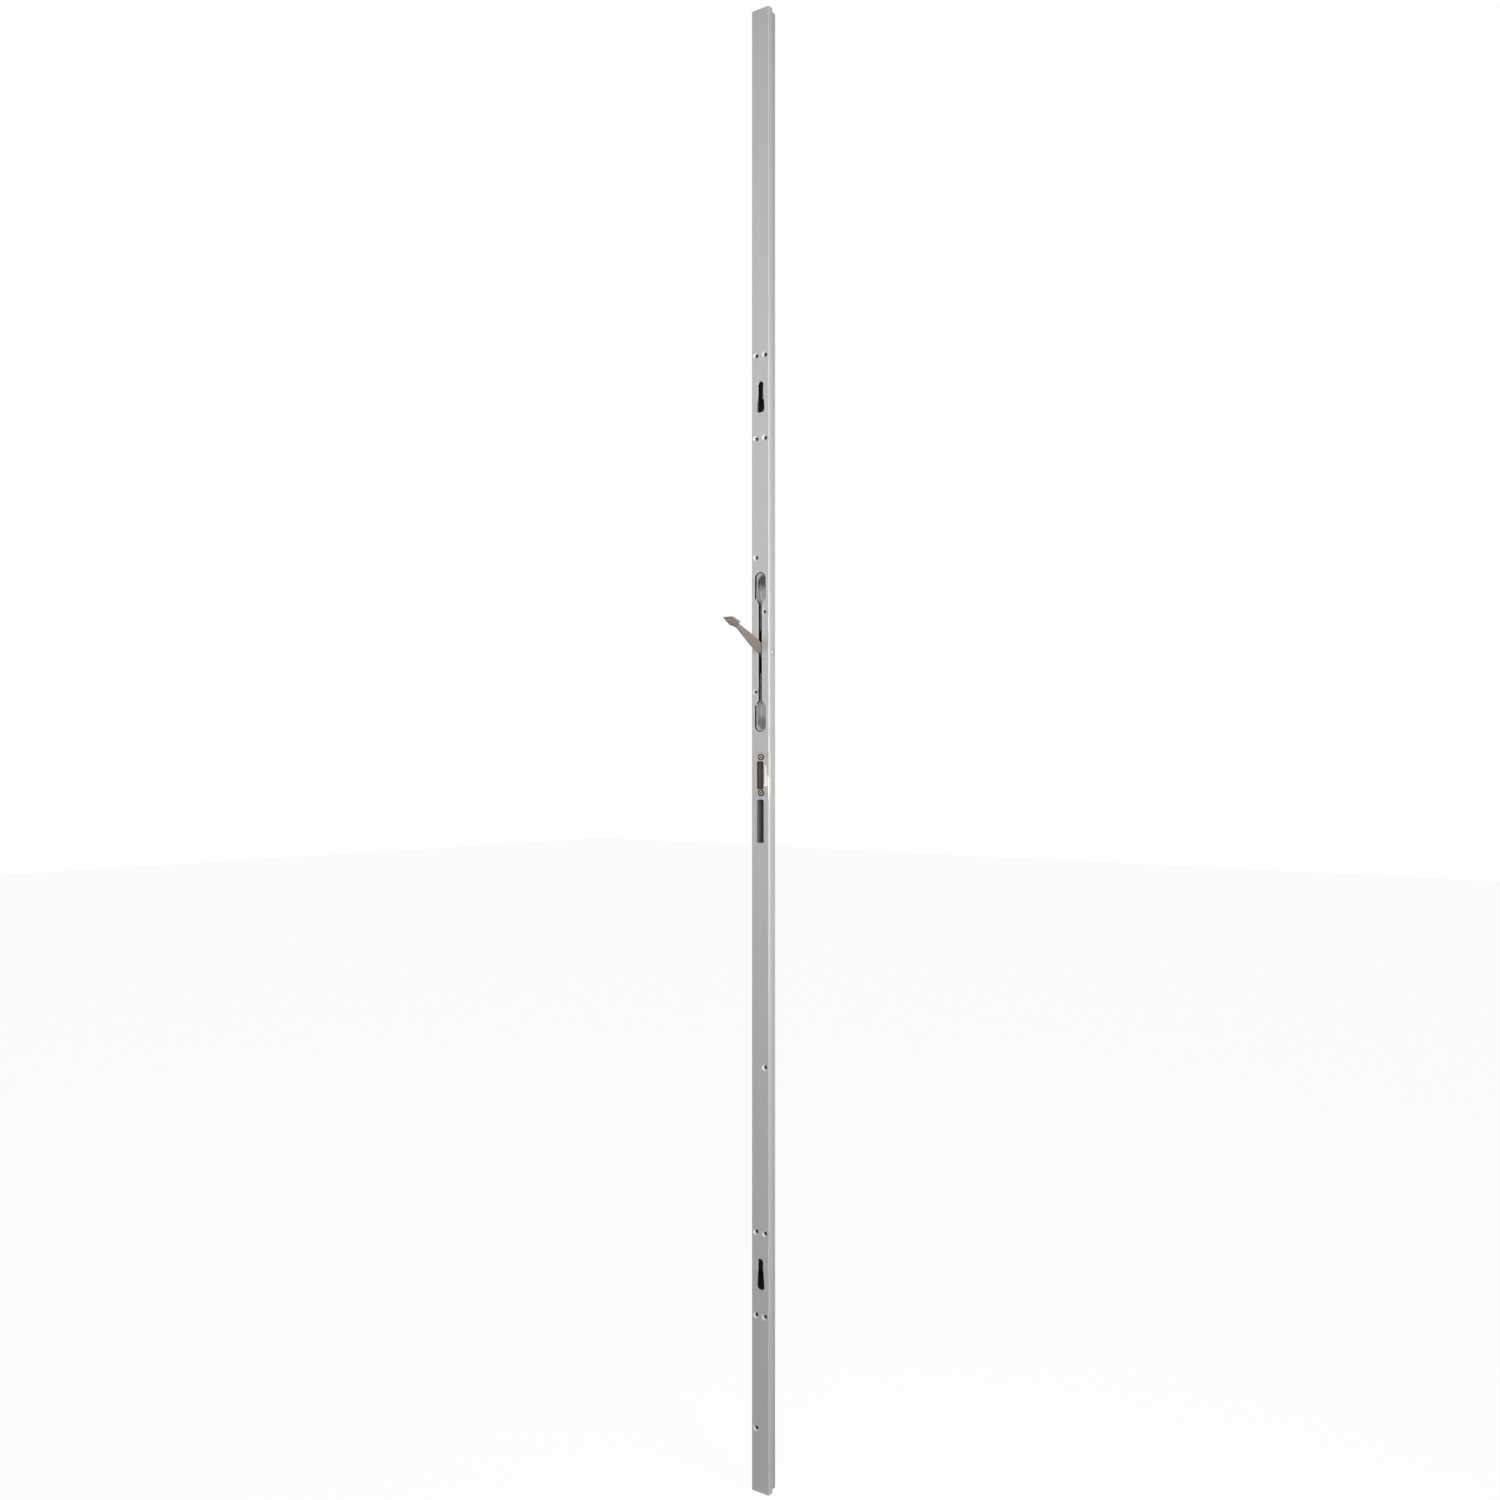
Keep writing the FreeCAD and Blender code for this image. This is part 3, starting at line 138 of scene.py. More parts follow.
camera_data = bpy.data.cameras.new("photo_camera")
camera_data.lens = 37.84
camera_data.sensor_width = 36.0
camera_data.clip_start = 0.02
camera = bpy.data.objects.new("photo_camera", camera_data)
camera.matrix_world = Matrix.Translation(eye) @ (-away).to_track_quat("-Z", "Y").to_matrix().to_4x4()
bpy.context.scene.collection.objects.link(camera)
bpy.context.scene.camera = camera
bpy.context.scene.view_settings.view_transform = "Standard"
print("camera at", tuple(round(v, 3) for v in eye))

# %% [markdown]
# ## Shader maths
# A procedural finish is a sum of masks and noises. Written node by node it is hard to read, so one
# small class wraps a socket and lets us write `0.4 + 0.1 * grain`. Each operator adds a Math node,
# and every other node comes from one method.

# %% Shader expressions
class Wire:
    def __init__(self, finish, socket):
        self.finish, self.socket = finish, socket

    def _math(self, operation, first, second):
        return self.finish.node("ShaderNodeMath", {"operation": operation}, {0: first, 1: second})

    def __add__(self, other): return self._math("ADD", self, other)
    def __radd__(self, other): return self._math("ADD", other, self)
    def __sub__(self, other): return self._math("SUBTRACT", self, other)
    def __rsub__(self, other): return self._math("SUBTRACT", other, self)
    def __mul__(self, other): return self._math("MULTIPLY", self, other)
    def __rmul__(self, other): return self._math("MULTIPLY", other, self)
    def __gt__(self, other): return self._math("GREATER_THAN", self, other)
    def __lt__(self, other): return self._math("LESS_THAN", self, other)
    def __abs__(self): return self._math("ABSOLUTE", self, 0.0)
    def root(self): return self._math("SQRT", self, 0.0)
    def most(self, other): return self._math("MAXIMUM", self, other)


class Finish:
    def __init__(self, name):
        self.material = bpy.data.materials.new(name)
        self.material.use_nodes = True
        self.tree = self.material.node_tree
        self.tree.nodes.clear()
        self.out = self.tree.nodes.new("ShaderNodeOutputMaterial")

    def node(self, kind, settings=None, sockets=None, output=0):
        made = self.tree.nodes.new(kind)
        for key, value in (settings or {}).items():
            setattr(made, key, value)
        for key, value in (sockets or {}).items():
            socket = made.inputs[key]
            if isinstance(value, Wire):
                self.tree.links.new(value.socket, socket)
            else:
                socket.default_value = value
        return Wire(self, made.outputs[output])

    def place(self):
        return self.node("ShaderNodeTexCoord", output="Object")

    def parts(self):
        split = self.node("ShaderNodeSeparateXYZ", sockets={0: self.place()})
        outputs = split.socket.node.outputs
        return [Wire(self, outputs[index]) for index in range(3)]

    def noise(self, scale, stretch=(1, 1, 1), detail=3.0, roughness=0.5):
        spread = self.node("ShaderNodeMapping", sockets={"Vector": self.place(), "Scale": stretch})
        return self.node("ShaderNodeTexNoise", sockets={"Vector": spread, "Scale": scale,
                                                        "Detail": detail, "Roughness": roughness})

    def fade(self, value, low, high, to_low=0.0, to_high=1.0):
        return self.node("ShaderNodeMapRange", {"clamp": True}, {"Value": value, "From Min": low,
                         "From Max": high, "To Min": to_low, "To Max": to_high})

    def mix(self, share, first, second):
        mixed = self.node("ShaderNodeMix", {"data_type": "RGBA"}, {0: share}, output=2)
        for key, value in ((6, first), (7, second)):
            socket = mixed.socket.node.inputs[key]
            if isinstance(value, Wire):
                self.tree.links.new(value.socket, socket)
            else:
                socket.default_value = (*value, 1.0)
        return mixed

    def bump(self, height, strength, distance):
        return self.node("ShaderNodeBump", sockets={"Height": height, "Strength": strength,
                                                    "Distance": distance})

    def metal(self, colour, roughness, metallic, normal, shine=0.5):
        shader = self.node("ShaderNodeBsdfPrincipled", sockets={
            "Base Color": colour, "Roughness": roughness, "Metallic": metallic, "Normal": normal,
            "Specular IOR Level": shine})
        self.tree.links.new(shader.socket, self.out.inputs["Surface"])
        return self.material


print("shader words ready")

# %% [markdown]
# ## Floor, background and light
# The photograph is a cut-out on white. The world shows pure white to the camera and in reflections,
# and lights the object with a softer grey. The floor is pale, catches a faint shadow, and melts
# into the background.

# %% World and floor
WORLD_GREY = 0.17
world = bpy.data.worlds.new("studio")
bpy.context.scene.world = world
world.use_nodes = True
sky = world.node_tree
sky.nodes.clear()


def seen_directly(tree):
    # 1 for camera, mirror and glass rays, 0 for light that only falls on things
    rays = tree.nodes.new("ShaderNodeLightPath")
    total = rays.outputs["Is Camera Ray"]
    for name in ("Is Glossy Ray", "Is Transmission Ray"):
        either = tree.nodes.new("ShaderNodeMath")
        either.operation = "MAXIMUM"
        tree.links.new(total, either.inputs[0])
        tree.links.new(rays.outputs[name], either.inputs[1])
        total = either.outputs[0]
    return total


grey = sky.nodes.new("ShaderNodeBackground")
grey.inputs["Color"].default_value = (1.0, 0.99, 0.975, 1.0)
grey.inputs["Strength"].default_value = WORLD_GREY
white = sky.nodes.new("ShaderNodeBackground")
white.inputs["Strength"].default_value = 1.0
white.inputs["Color"].default_value = (1.0, 1.0, 1.0, 1.0)
choose = sky.nodes.new("ShaderNodeMixShader")
sky.links.new(seen_directly(sky), choose.inputs[0])
sky.links.new(grey.outputs[0], choose.inputs[1])
sky.links.new(white.outputs[0], choose.inputs[2])
sky_out = sky.nodes.new("ShaderNodeOutputWorld")
sky.links.new(choose.outputs[0], sky_out.inputs["Surface"])

FLOOR_HALF = 9.0
floor_finish = Finish("studio_floor")
pale = floor_finish.node("ShaderNodeBsdfDiffuse", sockets={"Color": (0.9, 0.9, 0.9, 1.0)})
glow = floor_finish.node("ShaderNodeEmission", sockets={"Color": (1.0, 1.0, 1.0, 1.0), "Strength": 1.05})
share = Wire(floor_finish, seen_directly(floor_finish.tree)) * 0.9
blend = floor_finish.node("ShaderNodeMixShader", sockets={0: share, 1: pale, 2: glow})
floor_finish.tree.links.new(blend.socket, floor_finish.out.inputs["Surface"])
floor_mesh = bpy.data.meshes.new("floor")
low = cad_box[0][2]
corners = [(-FLOOR_HALF, -FLOOR_HALF, low), (FLOOR_HALF, -FLOOR_HALF, low),
           (FLOOR_HALF, FLOOR_HALF, low), (-FLOOR_HALF, FLOOR_HALF, low)]
floor_mesh.from_pydata(corners, [], [(0, 1, 2, 3)])
floor_mesh.materials.append(floor_finish.material)
floor = bpy.data.objects.new("floor", floor_mesh)
bpy.context.scene.collection.objects.link(floor)
print("floor at height", round(low, 4))

# %% [markdown]
# Three soft lamps model the object. The main one stands behind the camera and is gridded, so that
# it lights the visible walls inside the slots and fades towards both ends of the plate. One on the
# left throws the lever's soft shadow, and a small one close by lights the right side.

# %% Lamps
def soft_lamp(name, place, aim, width, height, watts, colour, spread=180.0):
    data = bpy.data.lights.new(name, "AREA")
    data.shape, data.size, data.size_y = "RECTANGLE", width, height
    data.energy, data.color, data.spread = watts, colour, math.radians(spread)
    lamp = bpy.data.objects.new(name, data)
    lamp.matrix_world = (Matrix.Translation(Vector(place))
                         @ (Vector(aim) - Vector(place)).to_track_quat("-Z", "Y").to_matrix().to_4x4())
    bpy.context.scene.collection.objects.link(lamp)
    return lamp


soft_lamp("lamp_main", (1.17, -1.74, 0.38), (0, 0, 0.36), 0.9, 0.9, 3.5, (1.0, 0.99, 0.98), 74.0)
soft_lamp("lamp_left", (-1.5, -2.3, 0.9), (0, 0, 0.15), 1.4, 1.6, 8.5, (1.0, 0.99, 0.98))
soft_lamp("lamp_right", (0.97, -0.22, 0.04), (0, 0, 0.04), 0.5, 0.6, 6.6, (1.0, 0.97, 0.94))
print("lamps:", [light.name for light in bpy.data.lights])

# %% [markdown]
# ## Finishes
# The faceplate is coated sheet steel with a fine lengthwise grain: nearly even in colour, with a
# satin sheen. A painted highlight lightens the two folds, and the punched walls are painted bright
# as a painted highlight, but dark as painted shade in the bolt slot and round the lever's opening.
# On the face round that opening runs a painted shadow line, with a painted highlight just outside
# it. The distance to that outline is worked out in the shader. The housing is the same idea, warmer
# and more matt.

# %% Sheet steel
def sheet_steel(name, colour, shade, roughness, metallic):
    # the finish and its base colour, so that a caller can paint masks over it
    finish = Finish(name)
    grain = finish.noise(1.0, (2600.0, 2600.0, 34.0), detail=2.0)
    clouds = finish.noise(9.0, (1.0, 1.0, 0.35), detail=4.0, roughness=0.6)
    specks = finish.noise(900.0, detail=1.0)
    tone = finish.fade(0.25 * clouds + 0.5 * grain + 0.25 * specks, 0.3, 0.7)
    base = finish.mix(tone, shade, colour)
    normal = finish.bump(0.6 * grain + 0.4 * specks, 0.10, 0.00006)
    return finish, base, roughness + 0.08 * clouds, metallic, normal


def depth_mask(finish, near, far):
    # 1 between two depths behind the plate's face, in millimetres
    x, y, z = finish.parts()
    return (y > (near - HOUSING_DEPTH) * MM) * (y < (far - HOUSING_DEPTH) * MM)


finish, base, rough, metallic, normal = sheet_steel("coated_plate_steel", (0.560, 0.565, 0.580),
                                                    (0.515, 0.521, 0.538), 0.36, 0.15)
x, y, z = finish.parts()
front = depth_mask(finish, -1.0, 0.14)
walls = (abs(x) < 0.0097) * depth_mask(finish, 0.14, 2.4)
fold_highlight = finish.fade(abs(x), 0.0107, 0.0115) * depth_mask(finish, -1.0, 2.0)
bolt_band = (z > (BOLT_FOOT - 1 + MIDDLE_HEIGHT) * MM) * (z < (BOLT_TOP + 1 + MIDDLE_HEIGHT) * MM)
up = abs(z - (PIVOT_HEIGHT + MIDDLE_HEIGHT) * MM)
past = (up - (RECESS_END - RECESS_HALF) * MM).most(0.0)
half = finish.fade(up, RECESS_NECK * MM, RECESS_SHOULDER * MM, SLOT_HALF * MM, RECESS_HALF * MM)
rim = (x * x + past * past).root() - half
# painted highlight along the two folds
base = finish.mix(0.20 * fold_highlight, base, (0.86, 0.855, 0.85))
# the punched walls are painted bright: a painted highlight where light falls into the holes
base = finish.mix(0.85 * walls, base, (0.90, 0.90, 0.89))
# painted shade on the walls of the bolt slot
base = finish.mix(walls * bolt_band, base, (0.26, 0.265, 0.26))
# painted shade on the walls of the lever's opening
base = finish.mix((rim < 0.0003) * walls, base, (0.02, 0.022, 0.022))
# a painted shadow line on the face along the lever's opening, wider on the right, then a painted highlight
# just outside it
rim_shadow_width = 0.0003 + 0.0003 * (x > 0.0)
base = finish.mix(0.9 * (rim < rim_shadow_width) * front, base, (0.05, 0.055, 0.055))
base = finish.mix(0.5 * (rim > rim_shadow_width) * (rim < rim_shadow_width + 0.0011) * front, base, (0.88, 0.88, 0.88))
plate_steel = finish.metal(base, rough, metallic, normal)

finish, base, rough, metallic, normal = sheet_steel("coated_housing_steel", (0.535, 0.515, 0.495),
                                                    (0.490, 0.470, 0.452), 0.45, 0.10)
housing_steel = finish.metal(base, rough, metallic, normal)
print("sheet steel:", plate_steel.name, housing_steel.name)

# %% [markdown]
# Zinc castings are darker and slightly pebbled. The cups and keepers darken towards one end and the
# pockets with depth: this is painted shade, and the keepers are near black as painted shade inside
# the hook slots. The insert round the latch opening is brushed bright metal, warm in tone. The lever
# is a coated casting.

# %% Castings and bright metal
def casting(name, colour, shade, roughness, metallic, pebble):
    finish = Finish(name)
    lumps = finish.noise(420.0, detail=4.0, roughness=0.55)
    clouds = finish.noise(60.0, detail=3.0)
    base = finish.mix(finish.fade(clouds, 0.35, 0.65), shade, colour)
    base = finish.mix(0.25 * finish.fade(lumps, 0.55, 0.75), base, (0.70, 0.69, 0.67))
    normal = finish.bump(lumps, pebble, 0.0002)
    return finish.metal(base, roughness + 0.12 * lumps, metallic, normal)


def painted_shade_casting(name, axis, span, colour, shade, deep=-5.0, shine=0.5):
    # a casting with painted shade: it changes from its own tone to the darker one along an axis,
    # between two places in mm, wherever it lies deeper than deep
    finish = Finish(name)
    lumps = finish.noise(420.0, detail=4.0, roughness=0.55)
    places = finish.parts()
    share = finish.fade(places[axis] + 0.002 * (lumps - 0.5), span[0] * MM, span[1] * MM)
    share = share * finish.fade(places[1], (deep - HOUSING_DEPTH) * MM, (deep + 1.0 - HOUSING_DEPTH) * MM)
    base = finish.mix(share, colour, shade)
    normal = finish.bump(lumps, 0.25, 0.0002)
    return finish.metal(base, 0.45 + 0.10 * lumps, 0.1, normal, shine)


def brushed_base(name, colour, shade, stretch):
    finish = Finish(name)
    lines = finish.noise(1.0, stretch, detail=3.0)
    clouds = finish.noise(45.0, detail=3.0)
    base = finish.mix(finish.fade(0.6 * lines + 0.4 * clouds, 0.35, 0.65), shade, colour)
    return finish, base, lines


def brushed(name, colour, shade, roughness, stretch, painted_shade_from=50.0):
    # what lies deeper than a given depth, such as a screw's socket, is painted dark as shade
    finish, base, lines = brushed_base(name, colour, shade, stretch)
    base = finish.mix(depth_mask(finish, painted_shade_from, 60.0), base, (0.012, 0.012, 0.012))
    normal = finish.bump(lines, 0.15, 0.00008)
    return finish.metal(base, roughness + 0.10 * lines, 0.85, normal)


def strike_coat():
    # a painted highlight where the latch runs in, and painted shade in the opening, in the
    # countersinks and along the upper part of the fold
    finish, base, lines = brushed_base("bright_strike_metal", (0.44, 0.425, 0.385), (0.38, 0.365, 0.33),
                                       (2200.0, 60.0, 2200.0))
    x, y, z = finish.parts()
    middle = ((LATCH_TOP + LATCH_FOOT) / 2 + MIDDLE_HEIGHT) * MM
    # painted highlight on the run-in
    ramp = (x > (LATCH_HALF + 0.3) * MM) * depth_mask(finish, 0.1, 3.4)
    base = finish.mix(ramp, base, (0.84, 0.83, 0.80))
    # painted shadow along the upper part of the fold
    line = 0.0106 + 0.0010 * finish.fade(z, middle, middle - 0.003)
    base = finish.mix(0.8 * (x > line) * depth_mask(finish, -1.0, 1.7), base, (0.20, 0.215, 0.20))
    below = depth_mask(finish, 0.12, 9.0)
    # painted shade inside the latch opening
    base = finish.mix((abs(x) < (LATCH_HALF + 0.2) * MM) * below, base, (0.13, 0.135, 0.13))
    for height in STRIKE_SCREWS:
        up = z - (height + MIDDLE_HEIGHT) * MM
        off = x - STRIKE_SLOT * MM
        # painted shade in the countersinks and their gaps
        sink = ((x * x + up * up).root() < 0.0034).most((off * off + up * up).root() < 0.0034)
        base = finish.mix(sink * below, base, (0.004, 0.004, 0.004))
    normal = finish.bump(lines, 0.15, 0.00008)
    return finish.metal(base, 0.34 + 0.10 * lines, 0.80, normal)


def gear_case_coat():
    # bare casting inside, darker round the drive, and the housing's coat on the sides
    finish, coat, rough, metallic, normal = sheet_steel("coated_gear_case", (0.535, 0.515, 0.495),
                                                        (0.490, 0.470, 0.452), 0.45, 0.10)
    x, y, z = finish.parts()
    lumps = finish.noise(420.0, detail=4.0, roughness=0.55)
    up = z - (PIVOT_HEIGHT + MIDDLE_HEIGHT) * MM
    back = y - (PIVOT_DEPTH - HOUSING_DEPTH) * MM
    near_drive = finish.fade(abs(up), 0.0236, 0.0226)
    ring = (up * up + back * back) < (AXLE_HOLE * MM) ** 2
    bare = finish.mix(finish.fade(lumps, 0.35, 0.65), (0.30, 0.31, 0.30), (0.38, 0.40, 0.38))
    bare = finish.mix(near_drive, bare, (0.006, 0.006, 0.006))
    base = finish.mix((abs(x) > 0.0113) * (1.0 - ring), bare, coat)
    return finish.metal(base, rough, metallic, normal)


cast_zinc = casting("cast_zinc", (0.300, 0.300, 0.305), (0.215, 0.217, 0.222), 0.38, 0.5, 0.25)
# painted shade: each cup darkens towards its far end, deeper than 5 mm, the upper one more
cup_castings = [painted_shade_casting("cup_casting", 2, (PIVOT_HEIGHT + side * 66 + MIDDLE_HEIGHT,
                                                  PIVOT_HEIGHT + side * 75 + MIDDLE_HEIGHT),
                               (0.56, 0.57, 0.58), shade, 5.0, 0.3)
                for side, shade in ((1, (0.13, 0.135, 0.14)), (-1, (0.27, 0.28, 0.285)))]
# painted shade: the pockets darken with depth
pocket_casting = painted_shade_casting("pocket_casting", 1, (2.0 - HOUSING_DEPTH, 9.0 - HOUSING_DEPTH),
                                (0.37, 0.38, 0.38), (0.13, 0.14, 0.135))
# painted shade: the keepers are near black, darker still towards their tops, as the shade inside the hook
# slots
keeper_castings = [painted_shade_casting("keeper_casting", 2, (centre + MIDDLE_HEIGHT - 12,
                                                        centre + MIDDLE_HEIGHT + 3),
                                  (0.030, 0.034, 0.030), (0.002, 0.002, 0.002), shine=0.05)
                   for centre in HOOK_HEIGHTS]
case_finish = gear_case_coat()
lever_casting = casting("lever_casting", (0.305, 0.270, 0.238), (0.235, 0.205, 0.178), 0.36, 0.35, 0.2)
strike_metal = strike_coat()
axle_steel = brushed("bright_axle_steel", (0.86, 0.85, 0.83), (0.78, 0.77, 0.75), 0.35,
                     (900.0, 900.0, 900.0))
drive_steel = brushed("zinc_plated_steel", (0.52, 0.52, 0.53), (0.40, 0.40, 0.42), 0.32,
                      (2400.0, 2400.0, 40.0))
# the screws' sockets are painted dark as shade below the given depth
screw_steel = brushed("screw_steel", (0.46, 0.46, 0.47), (0.38, 0.38, 0.39), 0.36,
                      (900.0, 60.0, 900.0), 0.46)
strike_screw_steel = brushed("strike_screw_steel", (0.46, 0.45, 0.43), (0.38, 0.37, 0.35), 0.36,
                             (900.0, 60.0, 900.0), 1.05)
bronze = brushed("sintered_bronze", (0.55, 0.37, 0.19), (0.42, 0.27, 0.13), 0.40,
                 (900.0, 900.0, 900.0))
print("castings and bright metals ready")

# %% [markdown]
# The guides and end plugs are black moulded plastic: dark, fairly rough, with a fine spark-eroded
# texture.

# %% Moulded plastic
def moulded(name, colour, shade):
    finish = Finish(name)
    spark = finish.noise(1500.0, detail=2.0)
    base = finish.mix(finish.fade(spark, 0.4, 0.6), shade, colour)
    return finish.metal(base, 0.48 + 0.12 * spark, 0.0, finish.bump(spark, 0.2, 0.0001))


black_plastic = moulded("black_moulded_plastic", (0.030, 0.030, 0.031), (0.018, 0.018, 0.019))
print("plastic:", black_plastic.name)

# %% [markdown]
# ## Mesh words
# The pieces that the camera sees from close by are built as plain meshes. Nearly all of them are a
# run of rings: an outline at several depths, a profile at several heights, or circles of changing
# radius. One function bridges such rings and caps the ends, and a few short ones cut, round and
# keep the result.

# %% Rings to meshes
def solid(rings, name):
    shape = bmesh.new()
    rows = [[shape.verts.new(point) for point in ring] for ring in rings]
    for first, second in zip(rows, rows[1:]):
        for index in range(len(first)):
            after = (index + 1) % len(first)
            shape.faces.new((first[index], first[after], second[after], second[index]))
    shape.faces.new(rows[0])
    shape.faces.new(rows[-1])
    bmesh.ops.recalc_face_normals(shape, faces=shape.faces[:])
    mesh = bpy.data.meshes.new(name)
    shape.to_mesh(mesh)
    shape.free()
    return mesh


def arc(x, height, radius, start, end, steps=12):
    # points on an arc, with 0 degrees to the right and 90 degrees up
    turns = [math.radians(start + (end - start) * step / steps) for step in range(steps + 1)]
    return [(x + radius * math.cos(turn), height + radius * math.sin(turn)) for turn in turns]


def prism(outline, near, far):
    return solid([[at(x, depth, height) for x, height in outline] for depth in (near, far)], "prism")


def rounded(half, low, high, corner, steps=8):
    # rectangle with round corners, symmetric about the middle line
    return (arc(half - corner, low + corner, corner, -90, 0, steps)
            + arc(half - corner, high - corner, corner, 0, 90, steps)
            + arc(corner - half, high - corner, corner, 90, 180, steps)
            + arc(corner - half, low + corner, corner, 180, 270, steps))


def turned(profile, x=0.0, height=0.0, steps=48, name="turned"):
    # profile of (radius, depth) pairs turned about an axis that runs straight back
    return solid([[at(px, depth, pz) for px, pz in arc(x, height, radius, 0, 360 - 360 / steps, steps - 1)]
                  for radius, depth in profile], name)


def eased(share):
    share = min(1.0, max(0.0, share))
    return share * share * (3.0 - 2.0 * share)


print("mesh words ready")

# %% [markdown]
# Cuts and unions are exact booleans. A cleaned piece is one closed skin; then every sharp edge gets a
# small round, which is what catches the light on a real casting or a punched sheet. The shading is
# weighted by face area, so that a flat sheet looks flat right up to the holes in it.

# %% Cutting, joining and rounding
def joined(meshes, name):
    shape = bmesh.new()
    for mesh in meshes:
        shape.from_mesh(mesh)
    made = bpy.data.meshes.new(name)
    shape.to_mesh(made)
    shape.free()
    return made


def stand(mesh, name):
    made = bpy.data.objects.new(name, mesh)
    bpy.context.scene.collection.objects.link(made)
    return made


def baked(worker, name):
    # the plain mesh that an object's modifiers give; the object itself goes
    bpy.context.view_layer.update()
    graph = bpy.context.evaluated_depsgraph_get()
    mesh = bpy.data.meshes.new_from_object(worker.evaluated_get(graph))
    mesh.name = name
    bpy.data.objects.remove(worker)
    return mesh


def combined(mesh, tools, name, operation="DIFFERENCE"):
    worker, tool = stand(mesh, name), stand(joined(tools, name + "_tool"), name + "_tool")
    change = worker.modifiers.new("combine", "BOOLEAN")
    change.operation, change.solver, change.object = operation, "EXACT", tool
    change.use_self = True
    result = baked(worker, name)
    bpy.data.objects.remove(tool)
    return result


def cleaned(mesh, name, flatten):
    # one skin with normals that point outwards; flatten turns flat areas into single faces
    shape = bmesh.new()
    shape.from_mesh(mesh)
    bmesh.ops.remove_doubles(shape, verts=shape.verts[:], dist=0.000004)
    if flatten:
        bmesh.ops.dissolve_limit(shape, angle_limit=math.radians(0.5), verts=shape.verts[:],
                                 edges=shape.edges[:])
    bmesh.ops.recalc_face_normals(shape, faces=shape.faces[:])
    made = bpy.data.meshes.new(name)
    shape.to_mesh(made)
    shape.free()
    return made


def softened(mesh, width, name, segments=2, flatten=True):
    # sharp edges get a small round; the shading follows the large faces, so that they stay flat
    smooth = cleaned(mesh, name, flatten)
    smooth.shade_smooth()
    worker = stand(smooth, name)
    edge = worker.modifiers.new("soften", "BEVEL")
    edge.width, edge.segments = width * MM, segments
    edge.limit_method, edge.angle_limit = "ANGLE", math.radians(30)
    flat = worker.modifiers.new("flat", "WEIGHTED_NORMAL")
    flat.mode, flat.weight = "FACE_AREA", 50
    return baked(worker, name)


def piece(mesh, name, material, body, nodes):
    mesh.materials.clear()
    mesh.materials.append(material)
    made = stand(mesh, name)
    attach(made, body)
    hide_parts(*nodes)
    print(name, "faces", len(mesh.polygons))
    return made


# %% [markdown]
# ## What repeats
# Two node trees carry the repeated features. The first stamps a piece on a set of points with a
# random spin, as screws sit in real life with their sockets turned any way. The second is a punch:
# it stamps a cutter on every hole position and takes all of them out of a sheet at once.

# %% Node trees for repeats
class Tree:
    def __init__(self, name, inputs):
        self.group = bpy.data.node_groups.new(name, "GeometryNodeTree")
        self.group.interface.new_socket("Geometry", in_out="OUTPUT", socket_type="NodeSocketGeometry")
        self.ids = {}
        for label, kind in [("Geometry", "NodeSocketGeometry")] + inputs:
            socket = self.group.interface.new_socket(label, in_out="INPUT", socket_type=kind)
            self.ids[label] = socket.identifier
        self.start = self.group.nodes.new("NodeGroupInput")
        self.end = self.group.nodes.new("NodeGroupOutput")

    def given(self, label):
        return self.start.outputs[label]

    def add(self, kind, sockets, settings=None, output=0):
        made = self.group.nodes.new(kind)
        for key, value in (settings or {}).items():
            setattr(made, key, value)
        for key, value in sockets.items():
            if isinstance(value, bpy.types.NodeSocket):
                self.group.links.new(value, made.inputs[key])
            else:
                made.inputs[key].default_value = value
        return made.outputs[output]

    def close(self, geometry):
        self.group.links.new(geometry, self.end.inputs[0])

    def run(self, mesh, name, **values):
        worker = stand(mesh, name)
        change = worker.modifiers.new(self.group.name, "NODES")
        change.node_group = self.group
        for label, value in values.items():
            change[self.ids[label]] = value
        return baked(worker, name)


stamp = Tree("stamp_on_points", [("Piece", "NodeSocketObject"), ("Spin", "NodeSocketFloat"),
                                 ("Seed", "NodeSocketInt"), ("Finish", "NodeSocketMaterial")])
shape = stamp.add("GeometryNodeObjectInfo", {"Object": stamp.given("Piece")}, output="Geometry")
spin = stamp.add("FunctionNodeRandomValue", {2: 0.0, 3: stamp.given("Spin"), "Seed": stamp.given("Seed")},
                 output=1)
turn = stamp.add("ShaderNodeCombineXYZ", {"Y": spin})
copies = stamp.add("GeometryNodeInstanceOnPoints", {"Points": stamp.given("Geometry"), "Instance": shape,
                                                    "Rotation": turn})
real = stamp.add("GeometryNodeRealizeInstances", {0: copies})
stamp.close(stamp.add("GeometryNodeSetMaterial", {"Geometry": real, "Material": stamp.given("Finish")}))

punch = Tree("punch_at_points", [("Places", "NodeSocketObject"), ("Cutter", "NodeSocketObject"),
                                 ("Finish", "NodeSocketMaterial")])
places = punch.add("GeometryNodeObjectInfo", {"Object": punch.given("Places")}, output="Geometry")
cutter = punch.add("GeometryNodeObjectInfo", {"Object": punch.given("Cutter")}, output="Geometry")
cuts = punch.add("GeometryNodeInstanceOnPoints", {"Points": places, "Instance": cutter})
cuts = punch.add("GeometryNodeRealizeInstances", {0: cuts})
left = punch.add("GeometryNodeMeshBoolean", {"Mesh 1": punch.given("Geometry"), "Mesh 2": cuts},
                 {"operation": "DIFFERENCE", "solver": "EXACT"})
left = punch.add("GeometryNodeRealizeInstances", {0: left})
punch.close(punch.add("GeometryNodeSetMaterial", {"Geometry": left, "Material": punch.given("Finish")}))


def points_mesh(places, name):
    mesh = bpy.data.meshes.new(name)
    mesh.from_pydata([at(x, 0, height) for x, height in places], [], [])
    return mesh


